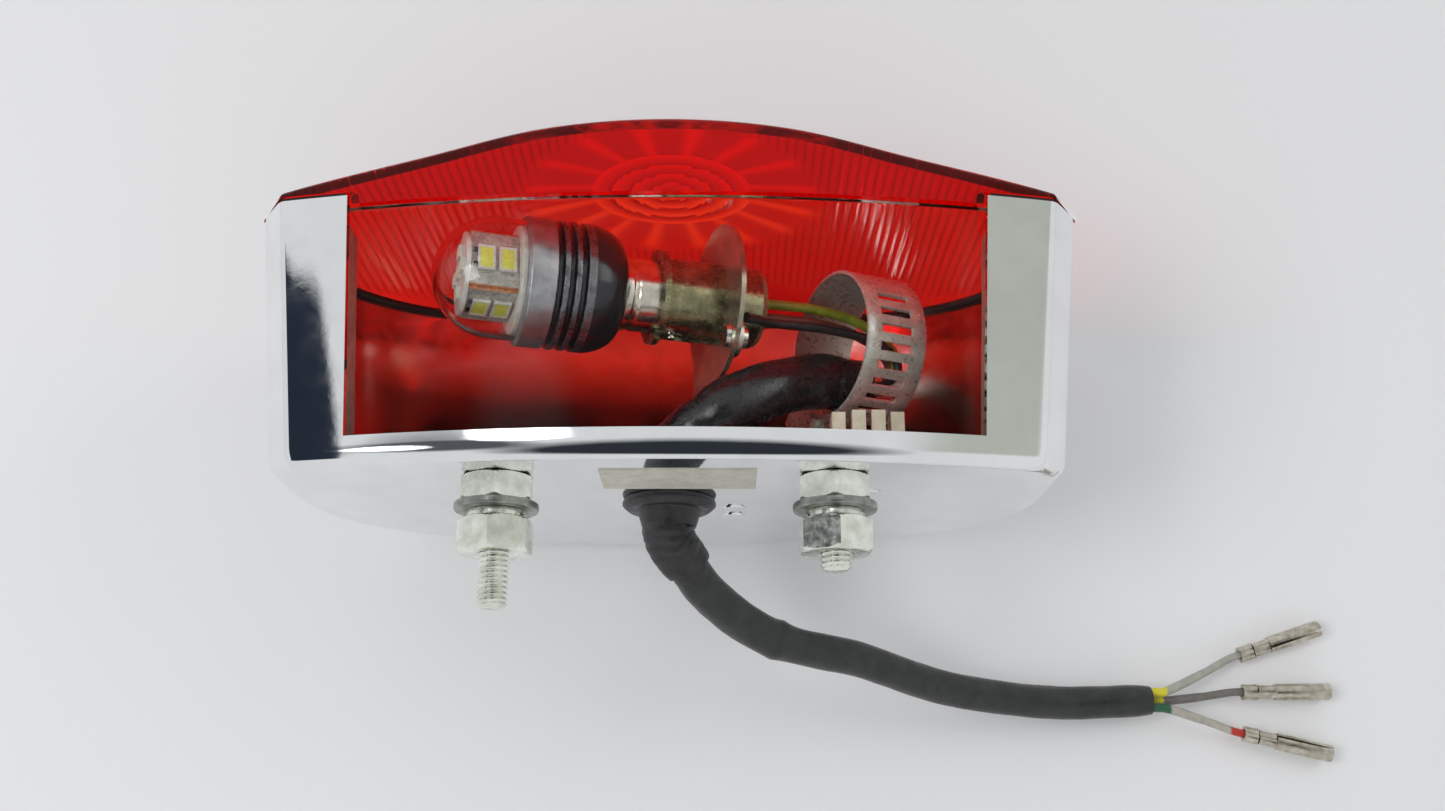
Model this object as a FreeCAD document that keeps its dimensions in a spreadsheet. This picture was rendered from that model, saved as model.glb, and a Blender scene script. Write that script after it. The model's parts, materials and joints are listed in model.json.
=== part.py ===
import FreeCAD, Part
import math
import os
import re

import Sketcher
from FreeCAD import Placement, Rotation, Vector

# Motorcycle tail light: a chromed half-round housing with a red lens in front, a clear number-plate
# window underneath, a bayonet LED bulb inside, and two studs and a three-core cable at the back.
#
# Frame: the origin is midway between the two studs, on the flat outside of the back wall. +Z is up
# as mounted, -Y points to the road behind (the lens), +Y to the mudguard (studs and cable), +X is
# to the right seen from behind. Millimetres.
#
# Two local frames are used. "Shell": x across, y up, z forward from the back wall towards the lens.
# "Lamp": x along the bulb from its dome to its contacts, zero where the bulb's bayonet pins sit.

SIZES = {
    # housing outline, seen along the lamp
    "back_half_width": 76.8,
    "back_crease_half_width": 71.0,
    "outline_waist": 3.0,
    "shoulder_level": 20.0,
    "shoulder_radius": 40.0,
    "crown_level": 66.5,
    "bottom_level": -14.8,
    "bottom_rise": 9.0,
    "flare_per_mm": 0.1,
    # housing shell
    "wall": 1.2,
    "housing_depth": 54.5,
    "back_edge_radius": 4.0,
    "lip_depth": 5.8,
    "opening_half_width_back": 59.5,
    "opening_half_width_front": 62.5,
    "flange_depth": 11.0,
    # lens
    "lens_wall": 2.0,
    "lens_apex": 68.5,
    "lens_shoulder": 62.0,
    "lens_shoulder_x": 47.0,
    "lens_side": 58.6,
    "lens_side_x": 66.0,
    "lens_tip": 55.3,
    "skirt_start": 52.6,
    "seal_thickness": 0.8,
    "seal_width": 3.0,
    # window
    "window_thickness": 1.8,
    "pane_margin": 1.0,
    "rib_thickness": 1.8,
    # label
    "label_width": 29.6,
    "label_height": 14.0,
    "label_thickness": 0.3,
    "label_x": 2.4,
    "label_z": 1.0,
    # mounting studs, washers and nuts
    "stud_half_spacing": 32.0,
    "stud_radius": 3.0,
    "stud_head_radius": 6.5,
    "stud_head_thickness": 1.8,
    "stud_chamfer": 0.6,
    "left_stud_end": 25.0,
    "right_stud_end": 18.0,
    "bore_clearance": 0.05,
    "nut_flats": 13.0,
    "jam_nut_height": 5.2,
    "nut_height": 6.6,
    "nut_chamfer": 0.9,
    "washer_radius": 8.0,
    "washer_thickness": 1.5,
    "lock_washer_radius": 5.6,
    "lock_washer_thickness": 1.5,
    "stack_gap": 0.02,
    # cable entry
    "cable_level": 18.5,
    "grommet_radius": 9.6,
    "grommet_flange": 2.4,
    "grommet_groove": 6.5,
    "grommet_inner_radius": 8.2,
    "grommet_neck_radius": 5.4,
    "grommet_length": 6.0,
    "sleeve_radius": 4.2,
    "sleeve_wall": 0.9,
    "rest_level": 68.0,
    # lamp axis
    "lamp_y": -42.2,
    "lamp_z": 16.0,
    "lamp_tilt": 19.0,
    # bulb
    "base_radius": 7.5,
    "base_start": -11.4,
    "base_end": 6.6,
    "pin_radius": 1.0,
    "pin_reach": 8.9,
    "sink_radius": 13.2,
    "sink_front": -32.4,
    "sink_back": -11.4,
    "sink_neck_radius": 7.9,
    "groove_depth": 1.1,
    "dome_radius": 12.3,
    "dome_centre": -37.2,
    "dome_wall": 0.8,
    "tower_across": 13.6,
    "tower_turn": 35.0,
    "tower_front": -43.0,
    "end_board_radius": 8.4,
    "chip_width": 3.4,
    "chip_length": 5.4,
    "chip_pitch": 4.2,
    "end_chip_width": 2.6,
    "chip_height": 0.7,
    # bulb socket
    "socket_bore": 7.7,
    "socket_radius": 8.5,
    "socket_front": -4.0,
    "socket_back": 17.5,
    "socket_rim_radius": 9.9,
    "push_travel": 2.0,
    "twist_angle": 20.0,
    "disc_radius": 17.0,
    "disc_at": 9.6,
    "sheet": 1.0,
    "strap_width": 12.0,
    "strap_lift": 8.0,
    "plunger_radius": 7.3,
    "plunger_front": 8.2,
    "plunger_thickness": 2.4,
    "contact_spacing": 6.4,
    "spring_radius": 4.6,
    "spring_wire": 0.45,
    # small fixings
    "fixing_hole": 1.55,
    "fixing_radius": 1.5,
    "rivet_spacing": 6.8,
    "tab_length": 13.0,
    "eyelet_radius": 4.2,
    "eyelet_across": 9.8,
    "eyelet_up": -8.6,
    # hose clamp
    "clamp_tilt": 26.0,
    "clamp_x": 40.0,
    "clamp_y": -36.0,
    "clamp_z": 29.5,
    "band_radius": 16.0,
    "band_thickness": 0.7,
    "band_width": 14.0,
    "slot_length": 7.4,
    "slot_width": 1.8,
    "slot_count": 13,
    "slot_spread": 166.0,
    "slot_turn": 155.0,
    "screw_box_turn": -40.0,
    "screw_box_width": 13.0,
    "screw_box_length": 9.4,
    "screw_box_height": 8.2,
    "screw_lift": 4.3,
    "screw_radius": 3.3,
    # wires
    "boot_radius": 6.0,
    "boot_wall": 1.2,
    "lead_radius": 1.1,
    "wire_radius": 1.0,
    "terminal_radius": 1.95,
    "terminal_length": 20.0,
    "core_spread": 1.8,
    "sleeve_end": 106.0,
    "sleeve_end_y": 35.4,
    # terminal block
    "block_x": 39.7,
    "block_z": 12.5,
    "block_width": 15.6,
    "block_height": 9.0,
    "block_depth": 9.6,
    "tower_height": 5.0,
    "tower_pitch": 3.9,
    "tower_thickness": 2.7,
}

doc = FreeCAD.newDocument("TailLight")
sheet = doc.addObject("Spreadsheet::Sheet", "Sizes")
WORD = re.compile(r"[a-z][a-z_]+")
nodes = []


def fill_sheet():
    """One row per driving dimension: its name, its value, and its name again as the alias."""
    for row, (name, value) in enumerate(SIZES.items(), start=1):
        sheet.set(f"A{row}", name)
        sheet.set(f"B{row}", str(value))
        sheet.setAlias(f"B{row}", name)
    doc.recompute()


def size(name):
    return float(sheet.get(name))


def bound(expression):
    """The expression with each driving dimension read from the sheet."""
    return WORD.sub(lambda m: "Sizes." + m.group() if m.group() in SIZES else m.group(), expression)


def value_of(expression):
    """The number that an expression of driving dimensions gives."""
    sheet.set("D1", "=" + expression)
    sheet.recompute()
    return float(sheet.get("D1"))


def bind(obj, **properties):
    for name, expression in properties.items():
        obj.setExpression(name, bound(expression))
    return obj


def sub_part(obj, label, placement=None):
    """Registers a finished document object as one sub-part."""
    obj.Label = label
    if placement is not None:
        obj.Placement = placement
    nodes.append(obj)
    return obj


# ---- placements -------------------------------------------------------------------------------

def shell_placement():
    return Placement(Vector(), Rotation(Vector(1, 0, 0), 90))


def backwards(x, y, z):
    """Local X runs along +Y, out of the back wall."""
    return Placement(Vector(x, y, z), Rotation(Vector(0, 0, 1), 90))


def lamp_placement():
    place = Vector(0, size("lamp_y"), size("lamp_z"))
    return Placement(place, Rotation(Vector(0, 1, 0), -size("lamp_tilt")))


def clamp_placement():
    place = Vector(size("clamp_x"), size("clamp_y"), size("clamp_z"))
    return Placement(place, Rotation(Vector(0, 1, 0), -size("clamp_tilt")))


def lamp_point(along, across, up):
    return lamp_placement().multVec(Vector(along, across, up))


# ---- sketches and bodies ----------------------------------------------------------------------

def sketch_on(body, role, name):
    sketch = body.newObject("Sketcher::SketchObject", name)
    plane = next(f for f in body.Origin.OriginFeatures if f.Role == role)
    sketch.AttachmentSupport = [(plane, "")]
    sketch.MapMode = "FlatFace"
    return sketch


def draw_polygon(sketch, corners):
    """A closed polygon whose corners are pairs of expressions in the sketch's x and y."""
    points = [Vector(value_of(x), value_of(y), 0) for x, y in corners]
    count = len(points)
    for i in range(count):
        sketch.addGeometry(Part.LineSegment(points[i], points[(i + 1) % count]), False)
    for i in range(count):
        sketch.addConstraint(Sketcher.Constraint("Coincident", i, 2, (i + 1) % count, 1))
    for i, (x, y) in enumerate(corners):
        for kind, expression, value in (("DistanceX", x, points[i].x), ("DistanceY", y, points[i].y)):
            index = sketch.addConstraint(Sketcher.Constraint(kind, -1, 1, i, 1, value))
            sketch.setExpression(f"Constraints[{index}]", bound(expression))
    return sketch


def draw_circle(sketch, x, y, radius):
    centre = Vector(value_of(x), value_of(y), 0)
    circle = sketch.addGeometry(Part.Circle(centre, Vector(0, 0, 1), value_of(radius)), False)
    for kind, expression, value in (("DistanceX", x, centre.x), ("DistanceY", y, centre.y)):
        index = sketch.addConstraint(Sketcher.Constraint(kind, -1, 1, circle, 3, value))
        sketch.setExpression(f"Constraints[{index}]", bound(expression))
    index = sketch.addConstraint(Sketcher.Constraint("Radius", circle, value_of(radius)))
    sketch.setExpression(f"Constraints[{index}]", bound(radius))
    return sketch


def new_body(name):
    return doc.addObject("PartDesign::Body", name + "_body")


def turned(name, profile):
    """A body turned about local X from a profile of (along, radius) corners."""
    body = new_body(name)
    sketch = draw_polygon(sketch_on(body, "XY_Plane", name + "_profile"), profile)
    turn = body.newObject("PartDesign::Revolution", name + "_turn")
    turn.Profile = sketch
    turn.ReferenceAxis = (sketch, ["H_Axis"])
    turn.Angle = 360
    sketch.Visibility = False
    return body


def padded(name, role, corners, length, both_ways=False):
    body = new_body(name)
    sketch = draw_polygon(sketch_on(body, role, name + "_outline"), corners)
    pad = body.newObject("PartDesign::Pad", name + "_pad")
    pad.Profile = sketch
    bind(pad, Length=length)
    pad.Midplane = both_ways
    return body


def tube_profile(start, end, inner, outer):
    return [(start, inner), (end, inner), (end, outer), (start, outer)]


def cylinder(name, radius, height, placement, angle=360):
    """A Part cylinder along local X of the placement."""
    solid = doc.addObject("Part::Cylinder", name)
    bind(solid, Radius=radius, Height=height)
    solid.Angle = angle
    solid.Placement = placement.multiply(Placement(Vector(), Rotation(Vector(0, 1, 0), 90)))
    return solid


def box(name, length, width, height, corner, frame=None):
    """A Part box whose low corner is given by expressions, in the frame of a placement."""
    solid = doc.addObject("Part::Box", name)
    bind(solid, Length=length, Width=width, Height=height)
    offset = Placement(Vector(*(value_of(c) for c in corner)), Rotation())
    solid.Placement = frame.multiply(offset) if frame else offset
    return solid


def joined(name, pieces):
    whole = doc.addObject("Part::MultiFuse", name)
    whole.Shapes = pieces
    return whole


def cut(name, base, tool):
    result = doc.addObject("Part::Cut", name)
    result.Base = base
    result.Tool = tool
    return result


def shaped(label, shape, placement=None):
    """A sub-part whose shape is made with Part's own functions."""
    feature = doc.addObject("Part::Feature", label + "_shape")
    feature.Shape = shape
    return sub_part(feature, label, placement)


# ---- housing outline --------------------------------------------------------------------------

def arch_edges(half_width, level, crown, radius, depth):
    """Two shoulder arcs and a flatter crown arc, each tangent to the next, from right to left."""
    reach = half_width - radius
    rise = crown - level
    centre_drop = (reach ** 2 - (rise - radius) ** 2) / (2 * (rise - radius))
    crown_centre = Vector(0, level - centre_drop, depth)
    crown_radius = rise + centre_drop
    shoulder_centre = Vector(reach, level, depth)
    outward = (shoulder_centre - crown_centre).normalize()
    join = crown_centre + outward * crown_radius
    half_way = shoulder_centre + (outward + Vector(1, 0, 0)).normalize() * radius
    right = [Vector(half_width, level, depth), half_way, join]
    left = [Vector(-p.x, p.y, p.z) for p in reversed(right)]
    top = Vector(0, crown, depth)
    return [Part.Arc(*right).toShape(), Part.Arc(join, top, left[0]).toShape(), Part.Arc(*left).toShape()]


def outline_wire(depth, inset, rounding=0.0):
    """The housing's outline at a depth from the back wall, moved inwards by inset.

    Rounding draws the arch in further than the underside, which keeps a crisper edge."""
    grow = size("flare_per_mm") * depth
    waist = size("outline_waist")
    half = size("back_half_width") + grow - inset - rounding
    crease = size("back_crease_half_width") + grow - inset - 0.5 * rounding
    low = size("bottom_level") + inset + 0.3 * rounding
    corner = low + size("bottom_rise")
    crown = size("crown_level") - inset + 0.3 * grow - rounding
    level = size("shoulder_level")
    radius = size("shoulder_radius") - inset - rounding + 0.5 * grow
    left, right = Vector(-crease, corner, depth), Vector(crease, corner, depth)
    edges = [
        Part.Arc(left, Vector(0, low, depth), right).toShape(),
        Part.LineSegment(right, Vector(half, waist, depth)).toShape(),
        Part.LineSegment(Vector(half, waist, depth), Vector(half, level, depth)).toShape(),
        *arch_edges(half, level, crown, radius, depth),
        Part.LineSegment(Vector(-half, level, depth), Vector(-half, waist, depth)).toShape(),
        Part.LineSegment(Vector(-half, waist, depth), left).toShape(),
    ]
    return Part.Wire(edges)


def outline_solid(start, end, inset):
    return Part.makeLoft([outline_wire(start, inset), outline_wire(end, inset)], True, True)


def rounded_solid(start, end, inset, radius):
    """An outline solid whose back edge is rounded in a few bands."""
    bands = [radius * (1 - math.cos(math.pi / 2 * i / 4)) for i in range(4)] + [radius]
    sections = [outline_wire(start + at, inset, radius - math.sqrt(radius ** 2 - (radius - at) ** 2))
                for at in bands]
    return Part.makeLoft(sections + [outline_wire(end, inset)], True, True)


def opening_prism(start, end, low, high, margin=0.0):
    """A tapering block that stands over the underside's opening, from one depth to another."""
    back = size("opening_half_width_back")
    slope = (size("opening_half_width_front") - back) / size("housing_depth")
    near, far = back + slope * start + margin, back + slope * end + margin
    corners = [Vector(-near, low, start), Vector(near, low, start), Vector(far, low, end),
               Vector(-far, low, end)]
    face = Part.Face(Part.makePolygon(corners + corners[:1]))
    return face.extrude(Vector(0, high - low, 0))


def shell_cylinder(x, level, start, length, radius):
    return Part.makeCylinder(radius, length, Vector(x, level, start), Vector(0, 0, 1))


def housing():
    """The chromed pressing: back wall, arch, flanks and bottom lip, open in front and underneath."""
    wall, depth = size("wall"), size("housing_depth")
    radius = size("back_edge_radius")
    cavity = rounded_solid(wall, depth + 10, wall, radius - wall)
    shell = rounded_solid(0, depth, 0, radius).cut(cavity)
    low = size("bottom_level") - 5
    high = size("bottom_level") + size("bottom_rise") + 6
    shell = shell.cut(opening_prism(size("lip_depth"), depth + 5, low, high))
    clearance = size("bore_clearance")
    holes = [shell_cylinder(side * size("stud_half_spacing"), 0, -1, 5, size("stud_radius") + clearance)
             for side in (-1, 1)]
    holes.append(shell_cylinder(0, size("cable_level"), -1, 5, size("grommet_groove") + clearance))
    holes += [shell_cylinder(x, z, -1, 5, size("fixing_hole")) for x, z in fixing_points()]
    shaped("housing", shell.cut(Part.makeCompound(holes)).removeSplitter(), shell_placement())


def fixing_points():
    """Where the bracket's two rivets and the terminal block's screw pass through the back wall."""
    tab = lamp_point(size("disc_at") + size("tab_length") / 2 + size("sheet") / 2, 0, size("strap_lift"))
    half = size("rivet_spacing") / 2
    return [(tab.x, tab.z - half), (tab.x, tab.z + half), (size("block_x"), size("block_z"))]


def opening_flanges():
    """Two cast ribs that stand up from the underside along the left and right edges of the opening."""
    wall = size("wall")
    start, end = size("lip_depth") + 0.4, size("skirt_start") - 1.5
    inside = outline_solid(wall + 0.1, size("housing_depth") - 1.0, wall + size("stack_gap"))
    band = opening_prism(start, end, size("bottom_level") - 2,
                         size("bottom_level") + size("bottom_rise") + size("flange_depth"),
                         size("pane_margin") + 0.1 + size("rib_thickness"))
    core = opening_prism(start - 1, end + 1, size("bottom_level") - 3, size("crown_level"),
                         size("pane_margin") + 0.1)
    ribs = band.cut(core).common(inside)
    pieces = [s for s in ribs.Solids if s.Volume > 50]
    for solid, label in zip(sorted(pieces, key=lambda s: s.CenterOfMass.x), ("left_rib", "right_rib")):
        shaped(label, solid, shell_placement())


# ---- lens, seal and window --------------------------------------------------------------------

def lens_front_points(offset):
    """Half of the lens's front line in plan, from the middle to the tip, moved back by offset."""
    tip_x = size("back_half_width") + size("flare_per_mm") * size("housing_depth") + 3
    bulge = size("lens_apex") - size("lens_shoulder")
    return [
        (0.0, size("lens_apex") - offset),
        (size("lens_shoulder_x") * 0.5, size("lens_apex") - offset - 0.24 * bulge),
        (size("lens_shoulder_x"), size("lens_shoulder") - offset),
        (size("lens_side_x"), size("lens_side") - offset),
        (tip_x, size("lens_tip") - offset),
    ]


def front_block(offset):
    """Everything behind the lens's front line, as a tall block."""
    half = lens_front_points(offset)
    line = [Vector(-x, 0, z) for x, z in reversed(half[1:])] + [Vector(x, 0, z) for x, z in half]
    curve = Part.BSplineCurve()
    curve.interpolate(line)
    first, last = line[0], line[-1]
    floor = 30.0
    sides = Part.makePolygon([last, Vector(last.x, 0, floor), Vector(first.x, 0, floor), first])
    face = Part.Face(Part.Wire([curve.toShape()] + sides.Edges))
    low = size("bottom_level") - 5
    block = face.extrude(Vector(0, size("crown_level") - low + 10, 0))
    block.translate(Vector(0, low, 0))
    return block


def lens():
    """The red lens: a bulged front, a short rim round the arch and a skirt over the window's edge."""
    start, front = size("housing_depth") + size("seal_thickness") + size("stack_gap"), 80
    skirt = size("skirt_start")
    thickness = size("lens_wall")
    outer = outline_solid(start, front, 0).common(front_block(0))
    inner = outline_solid(skirt - 5, front, thickness).common(front_block(thickness))
    tongue = outline_solid(skirt, start + 0.5, 0).common(
        opening_prism(skirt, start + 0.5, size("bottom_level") - 5, size("outline_waist") - 6, -0.3))
    body = outer.fuse(tongue).cut(inner).removeSplitter()
    solid = max(body.Solids, key=lambda s: s.Volume)
    shaped("lens", solid, shell_placement())


def lens_seal():
    """The bead between the housing's rim and the lens, open across the window."""
    start = size("housing_depth") + size("stack_gap") / 2
    end = start + size("seal_thickness")
    bead = outline_solid(start, end, 0.5).cut(outline_solid(start - 1, end + 1, size("seal_width")))
    low = size("bottom_level") - 5
    bead = bead.cut(opening_prism(start - 2, end + 2, low, size("outline_waist") - 4, 0.6))
    shaped("lens_seal", max(bead.Solids, key=lambda s: s.Volume), shell_placement())


def window():
    """The clear number-plate window, bowed like the underside, seated inside the opening's edges."""
    wall = size("wall") + size("stack_gap")
    start, end = size("lip_depth") - 2.0, size("skirt_start") - 0.1
    sheet_layer = outline_solid(start, end, wall).cut(
        outline_solid(start - 1, end + 1, wall + size("window_thickness")))
    keep = opening_prism(start, end, size("bottom_level") - 5, size("outline_waist") - 3,
                         size("pane_margin"))
    pane = max(sheet_layer.common(keep).Solids, key=lambda s: s.Volume)
    shaped("window", pane, shell_placement())


def label():
    """The blank identification plate stuck to the outside of the back wall."""
    plate = padded("label", "XZ_Plane", [
        ("label_x - label_width / 2", "label_z - label_height / 2"),
        ("label_x + label_width / 2", "label_z - label_height / 2"),
        ("label_x + label_width / 2", "label_z + label_height / 2"),
        ("label_x - label_width / 2", "label_z + label_height / 2"),
    ], "label_thickness")
    sub_part(plate, "label", Placement(Vector(0, size("label_thickness") + 0.01, 0), Rotation()))


# ---- studs, washers and nuts ------------------------------------------------------------------

def stud(side, label):
    """A weld stud: flat head inside the back wall, plain shank standing out of it."""
    end = label + "_end"
    body = turned(label, [
        ("-wall - stud_head_thickness - stack_gap", "0"),
        ("-wall - stud_head_thickness - stack_gap", "stud_head_radius"),
        ("-wall - stack_gap", "stud_head_radius"),
        ("-wall - stack_gap", "stud_radius"),
        (end + " - stud_chamfer", "stud_radius"),
        (end, "stud_radius - stud_chamfer"),
        (end, "0"),
    ])
    sub_part(body, label, backwards(side * size("stud_half_spacing"), 0, 0))


def hex_nut(name, height, start, side):
    """A chamfered hexagon nut with one corner facing down, bored to run on the stud."""
    x = side * size("stud_half_spacing")
    along = Placement(Vector(x, value_of(start), 0), Rotation(Vector(1, 0, 0), -90))
    prism = doc.addObject("Part::Prism", name + "_prism")
    prism.Polygon = 6
    bind(prism, Circumradius="nut_flats / 1.7320508", Height=height)
    prism.Placement = along.multiply(Placement(Vector(), Rotation(Vector(0, 0, 1), 90)))
    body = turned(name + "_round", [
        ("0", "stud_radius + bore_clearance"),
        (height, "stud_radius + bore_clearance"),
        (height, "nut_flats / 2"),
        (height + " - nut_chamfer * 0.6", "nut_flats / 1.7320508 + 0.05"),
        ("nut_chamfer * 0.6", "nut_flats / 1.7320508 + 0.05"),
        ("0", "nut_flats / 2"),
    ])
    body.Placement = backwards(x, value_of(start), 0)
    nut = doc.addObject("Part::Common", name)
    nut.Base = prism
    nut.Tool = body
    return nut


def ring(name, inner, outer, thickness, start, side):
    body = turned(name, tube_profile("0", thickness, inner, outer))
    body.Placement = backwards(side * size("stud_half_spacing"), value_of(start), 0)
    return body


def lock_washer(name, start, side):
    """A split spring washer: a ring with a narrow gap."""
    body = ring(name + "_ring", "stud_radius + 0.3", "lock_washer_radius", "lock_washer_thickness",
                start, side)
    gap = box(name + "_gap", "1.0", "lock_washer_thickness + 2", "lock_washer_radius + 2",
              ("0", "0", "0"))
    place = Vector(side * size("stud_half_spacing") - 0.5, value_of(start) - 1, 0)
    gap.Placement = Placement(place, Rotation(Vector(0, 1, 0), 150))
    return cut(name, body, gap)


WASHER_START = "jam_nut_height + 2 * stack_gap"
LOCK_START = "jam_nut_height + washer_thickness + 3 * stack_gap"
NUT_START = "jam_nut_height + washer_thickness + lock_washer_thickness + 4 * stack_gap"


def mounting_hardware():
    jam = [hex_nut(f"jam_nut_{name}", "jam_nut_height", "stack_gap", side)
           for side, name in ((-1, "left"), (1, "right"))]
    group = doc.addObject("Part::Compound", "jam_nut_pair")
    group.Links = jam
    sub_part(group, "jam_nuts")
    for side, name in ((-1, "left"), (1, "right")):
        stud(side, name + "_stud")
        bore = "stud_radius + bore_clearance"
        washer = ring(name + "_flat", bore, "washer_radius", "washer_thickness", WASHER_START, side)
        sub_part(washer, name + "_washer")
        sub_part(lock_washer(name + "_lock", LOCK_START, side), name + "_lock_washer")
        sub_part(hex_nut(name + "_hex", "nut_height", NUT_START, side), name + "_nut")


# ---- cable entry and wires --------------------------------------------------------------------

def grommet():
    """The rubber grommet: a round flange outside, a groove on the wall, a tapering neck."""
    bore = "sleeve_radius + 0.4"
    body = turned("grommet", [
        ("-wall - 2.2", bore),
        ("-wall - 2.2", "grommet_inner_radius - 1"),
        ("-wall - 0.05", "grommet_inner_radius"),
        ("-wall - 0.05", "grommet_groove"),
        ("0.05", "grommet_groove"),
        ("0.05", "grommet_radius - 0.3"),
        ("0.9", "grommet_radius"),
        ("grommet_flange - 0.6", "grommet_radius - 0.2"),
        ("grommet_flange", "grommet_radius - 1.2"),
        ("grommet_flange", "grommet_neck_radius + 0.6"),
        ("grommet_length", "grommet_neck_radius"),
        ("grommet_length", bore),
    ])
    sub_part(body, "grommet", backwards(0, 0, size("cable_level")))


def arc_from(start, corner, end):
    """The arc that leaves start towards corner and reaches end coming from it."""
    chord = end - start
    weight = (corner - start).normalize().dot(Vector(chord).normalize())
    if weight > 1 - 1e-9:
        return Part.LineSegment(start, end).toShape()
    middle = (start + corner * (2 * weight) + end) * (1 / (2 + 2 * weight))
    return Part.Arc(start, middle, end).toShape()


def arc_chain(points):
    """Tangent arcs through the points, two to each stretch."""
    line = Part.BSplineCurve()
    line.interpolate(points)
    ways = [line.tangent(line.parameter(p))[0] for p in points]
    arcs = []
    for i in range(len(points) - 1):
        start, end, leave, arrive = points[i], points[i + 1], ways[i], ways[i + 1]
        gap = end - start
        ahead = gap.dot(leave + arrive)
        spread = 2 * (1 - leave.dot(arrive))
        if spread < 1e-9:
            reach = gap.dot(gap) / (2 * ahead)
        else:
            reach = (math.sqrt(ahead * ahead + spread * gap.dot(gap)) - ahead) / spread
        first, last = start + leave * reach, end - arrive * reach
        join = (first + last) * 0.5
        arcs += [arc_from(start, first, join), arc_from(join, last, end)]
    return arcs, ways[0]


def tube(points, radius, bore=0.0):
    """A round tube along a smooth chain of arcs through the points."""
    arcs, along = arc_chain(points)
    rims = [Part.Wire(Part.Circle(points[0], along, r).toShape()) for r in (radius, bore) if r]
    section = Part.makeFace(rims, "Part::FaceMakerBullseye")
    return Part.Wire(arcs).makePipe(section)


def sleeve_points():
    level = size("cable_level")
    rest = size("rest_level") - size("sleeve_radius") - 1.5
    return [
        Vector(0, -4.5, level),
        Vector(0, 2.0, level),
        Vector(0.2, 7.0, level + 0.3),
        Vector(3.0, 12.0, level + 2.8),
        Vector(9.5, 19.0, level + 9.5),
        Vector(22.0, 25.6, level + 18.5),
        Vector(40.0, 28.6, level + 27.0),
        Vector(60.0, 33.6, rest - 7.0),
        Vector(83.0, 36.0, rest - 1.6),
        Vector(size("sleeve_end"), size("sleeve_end_y"), rest),
    ]


def cable():
    """The black sleeve from the grommet to where the three wires part, lying on the bench."""
    radius = size("sleeve_radius")
    shaped("cable_sleeve", tube(sleeve_points(), radius, radius - size("sleeve_wall")))


WIRE_ENDS = {
    "upper": (Vector(128.0, 25.0, 0), Vector(20.0, -6.6, 0)),
    "middle": (Vector(127.8, 33.3, 0), Vector(20.0, -0.1, 0)),
    "lower": (Vector(127.2, 42.4, 0), Vector(20.0, 4.7, 0)),
}


def wires():
    """Three wires leave the sleeve's end and each carries a bullet terminal."""
    rest = size("rest_level") - size("sleeve_radius") - 1.5
    spread = {"upper": -1.0, "middle": 0.0, "lower": 1.0}
    lift = {"upper": -0.8, "middle": 1.0, "lower": -0.8}
    for name, (end, direction) in WIRE_ENDS.items():
        way = Vector(direction).normalize()
        tip = Vector(end.x, end.y, size("rest_level") - size("terminal_radius") - 0.6)
        across = size("sleeve_end_y") + spread[name] * size("core_spread")
        start = Vector(size("sleeve_end") + 1.0, across, rest + lift[name])
        points = [start - Vector(5, 0, 0), start, start * 0.5 + (tip - way * 3) * 0.5,
                  tip - way * 3, tip, tip + way * 3.8]
        shaped(name + "_wire", tube(points, size("wire_radius")))
        bullet = turned(name + "_bullet", [
            ("0", "wire_radius + 0.15"),
            ("4.0", "wire_radius + 0.15"),
            ("4.4", "0"),
            ("terminal_length", "0"),
            ("terminal_length", "terminal_radius - 0.9"),
            ("terminal_length - 0.9", "terminal_radius"),
            ("9.2", "terminal_radius"),
            ("8.6", "terminal_radius - 0.5"),
            ("7.4", "terminal_radius - 0.5"),
            ("6.8", "terminal_radius"),
            ("0.3", "terminal_radius"),
            ("0", "terminal_radius - 0.3"),
        ])
        turn = Rotation(Vector(1, 0, 0), way)
        sub_part(bullet, name + "_terminal", Placement(tip, turn))


def inner_wiring():
    """The rubber boot inside the housing, the two bulb leads and the earth lead."""
    level = size("cable_level")
    boot = [Vector(0, -6.6, level), Vector(1.0, -10.0, level - 1.4),
            Vector(10.0, -17.0, level - 5.2), Vector(21.0, -22.8, level - 2.0),
            lamp_point(33, 14.7, -1.0), lamp_point(38, 14.9, -0.4), lamp_point(43, 14.9, 0)]
    shaped("cable_boot", tube(boot, size("boot_radius"), size("boot_radius") - size("boot_wall")))
    start = size("socket_back") + 1.5
    leads = []
    for side in (-1.6, 1.6):
        leads.append(tube([lamp_point(start, side, 0), lamp_point(34, side, 0),
                           lamp_point(45, 2.5 + side, 0.6), lamp_point(51, 8.5 + 0.4 * side, 1 + side),
                           lamp_point(47, 14.9, 1 + side), lamp_point(40, 14.9, 1 + side)],
                          size("lead_radius")))
    shaped("bulb_leads", Part.makeCompound(leads))
    shaped("earth_lead", tube([lamp_point(12.6, 6.3, -11.0), lamp_point(20, 5.5, -7.5),
                               lamp_point(33, 4.5, -5.0), lamp_point(45, 6.0, -4.5),
                               lamp_point(50, 10.5, -3.4), lamp_point(46.5, 14.9, -3.0),
                               lamp_point(40, 14.9, -3.0)], size("lead_radius") - 0.1))


# ---- bulb -------------------------------------------------------------------------------------

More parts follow.
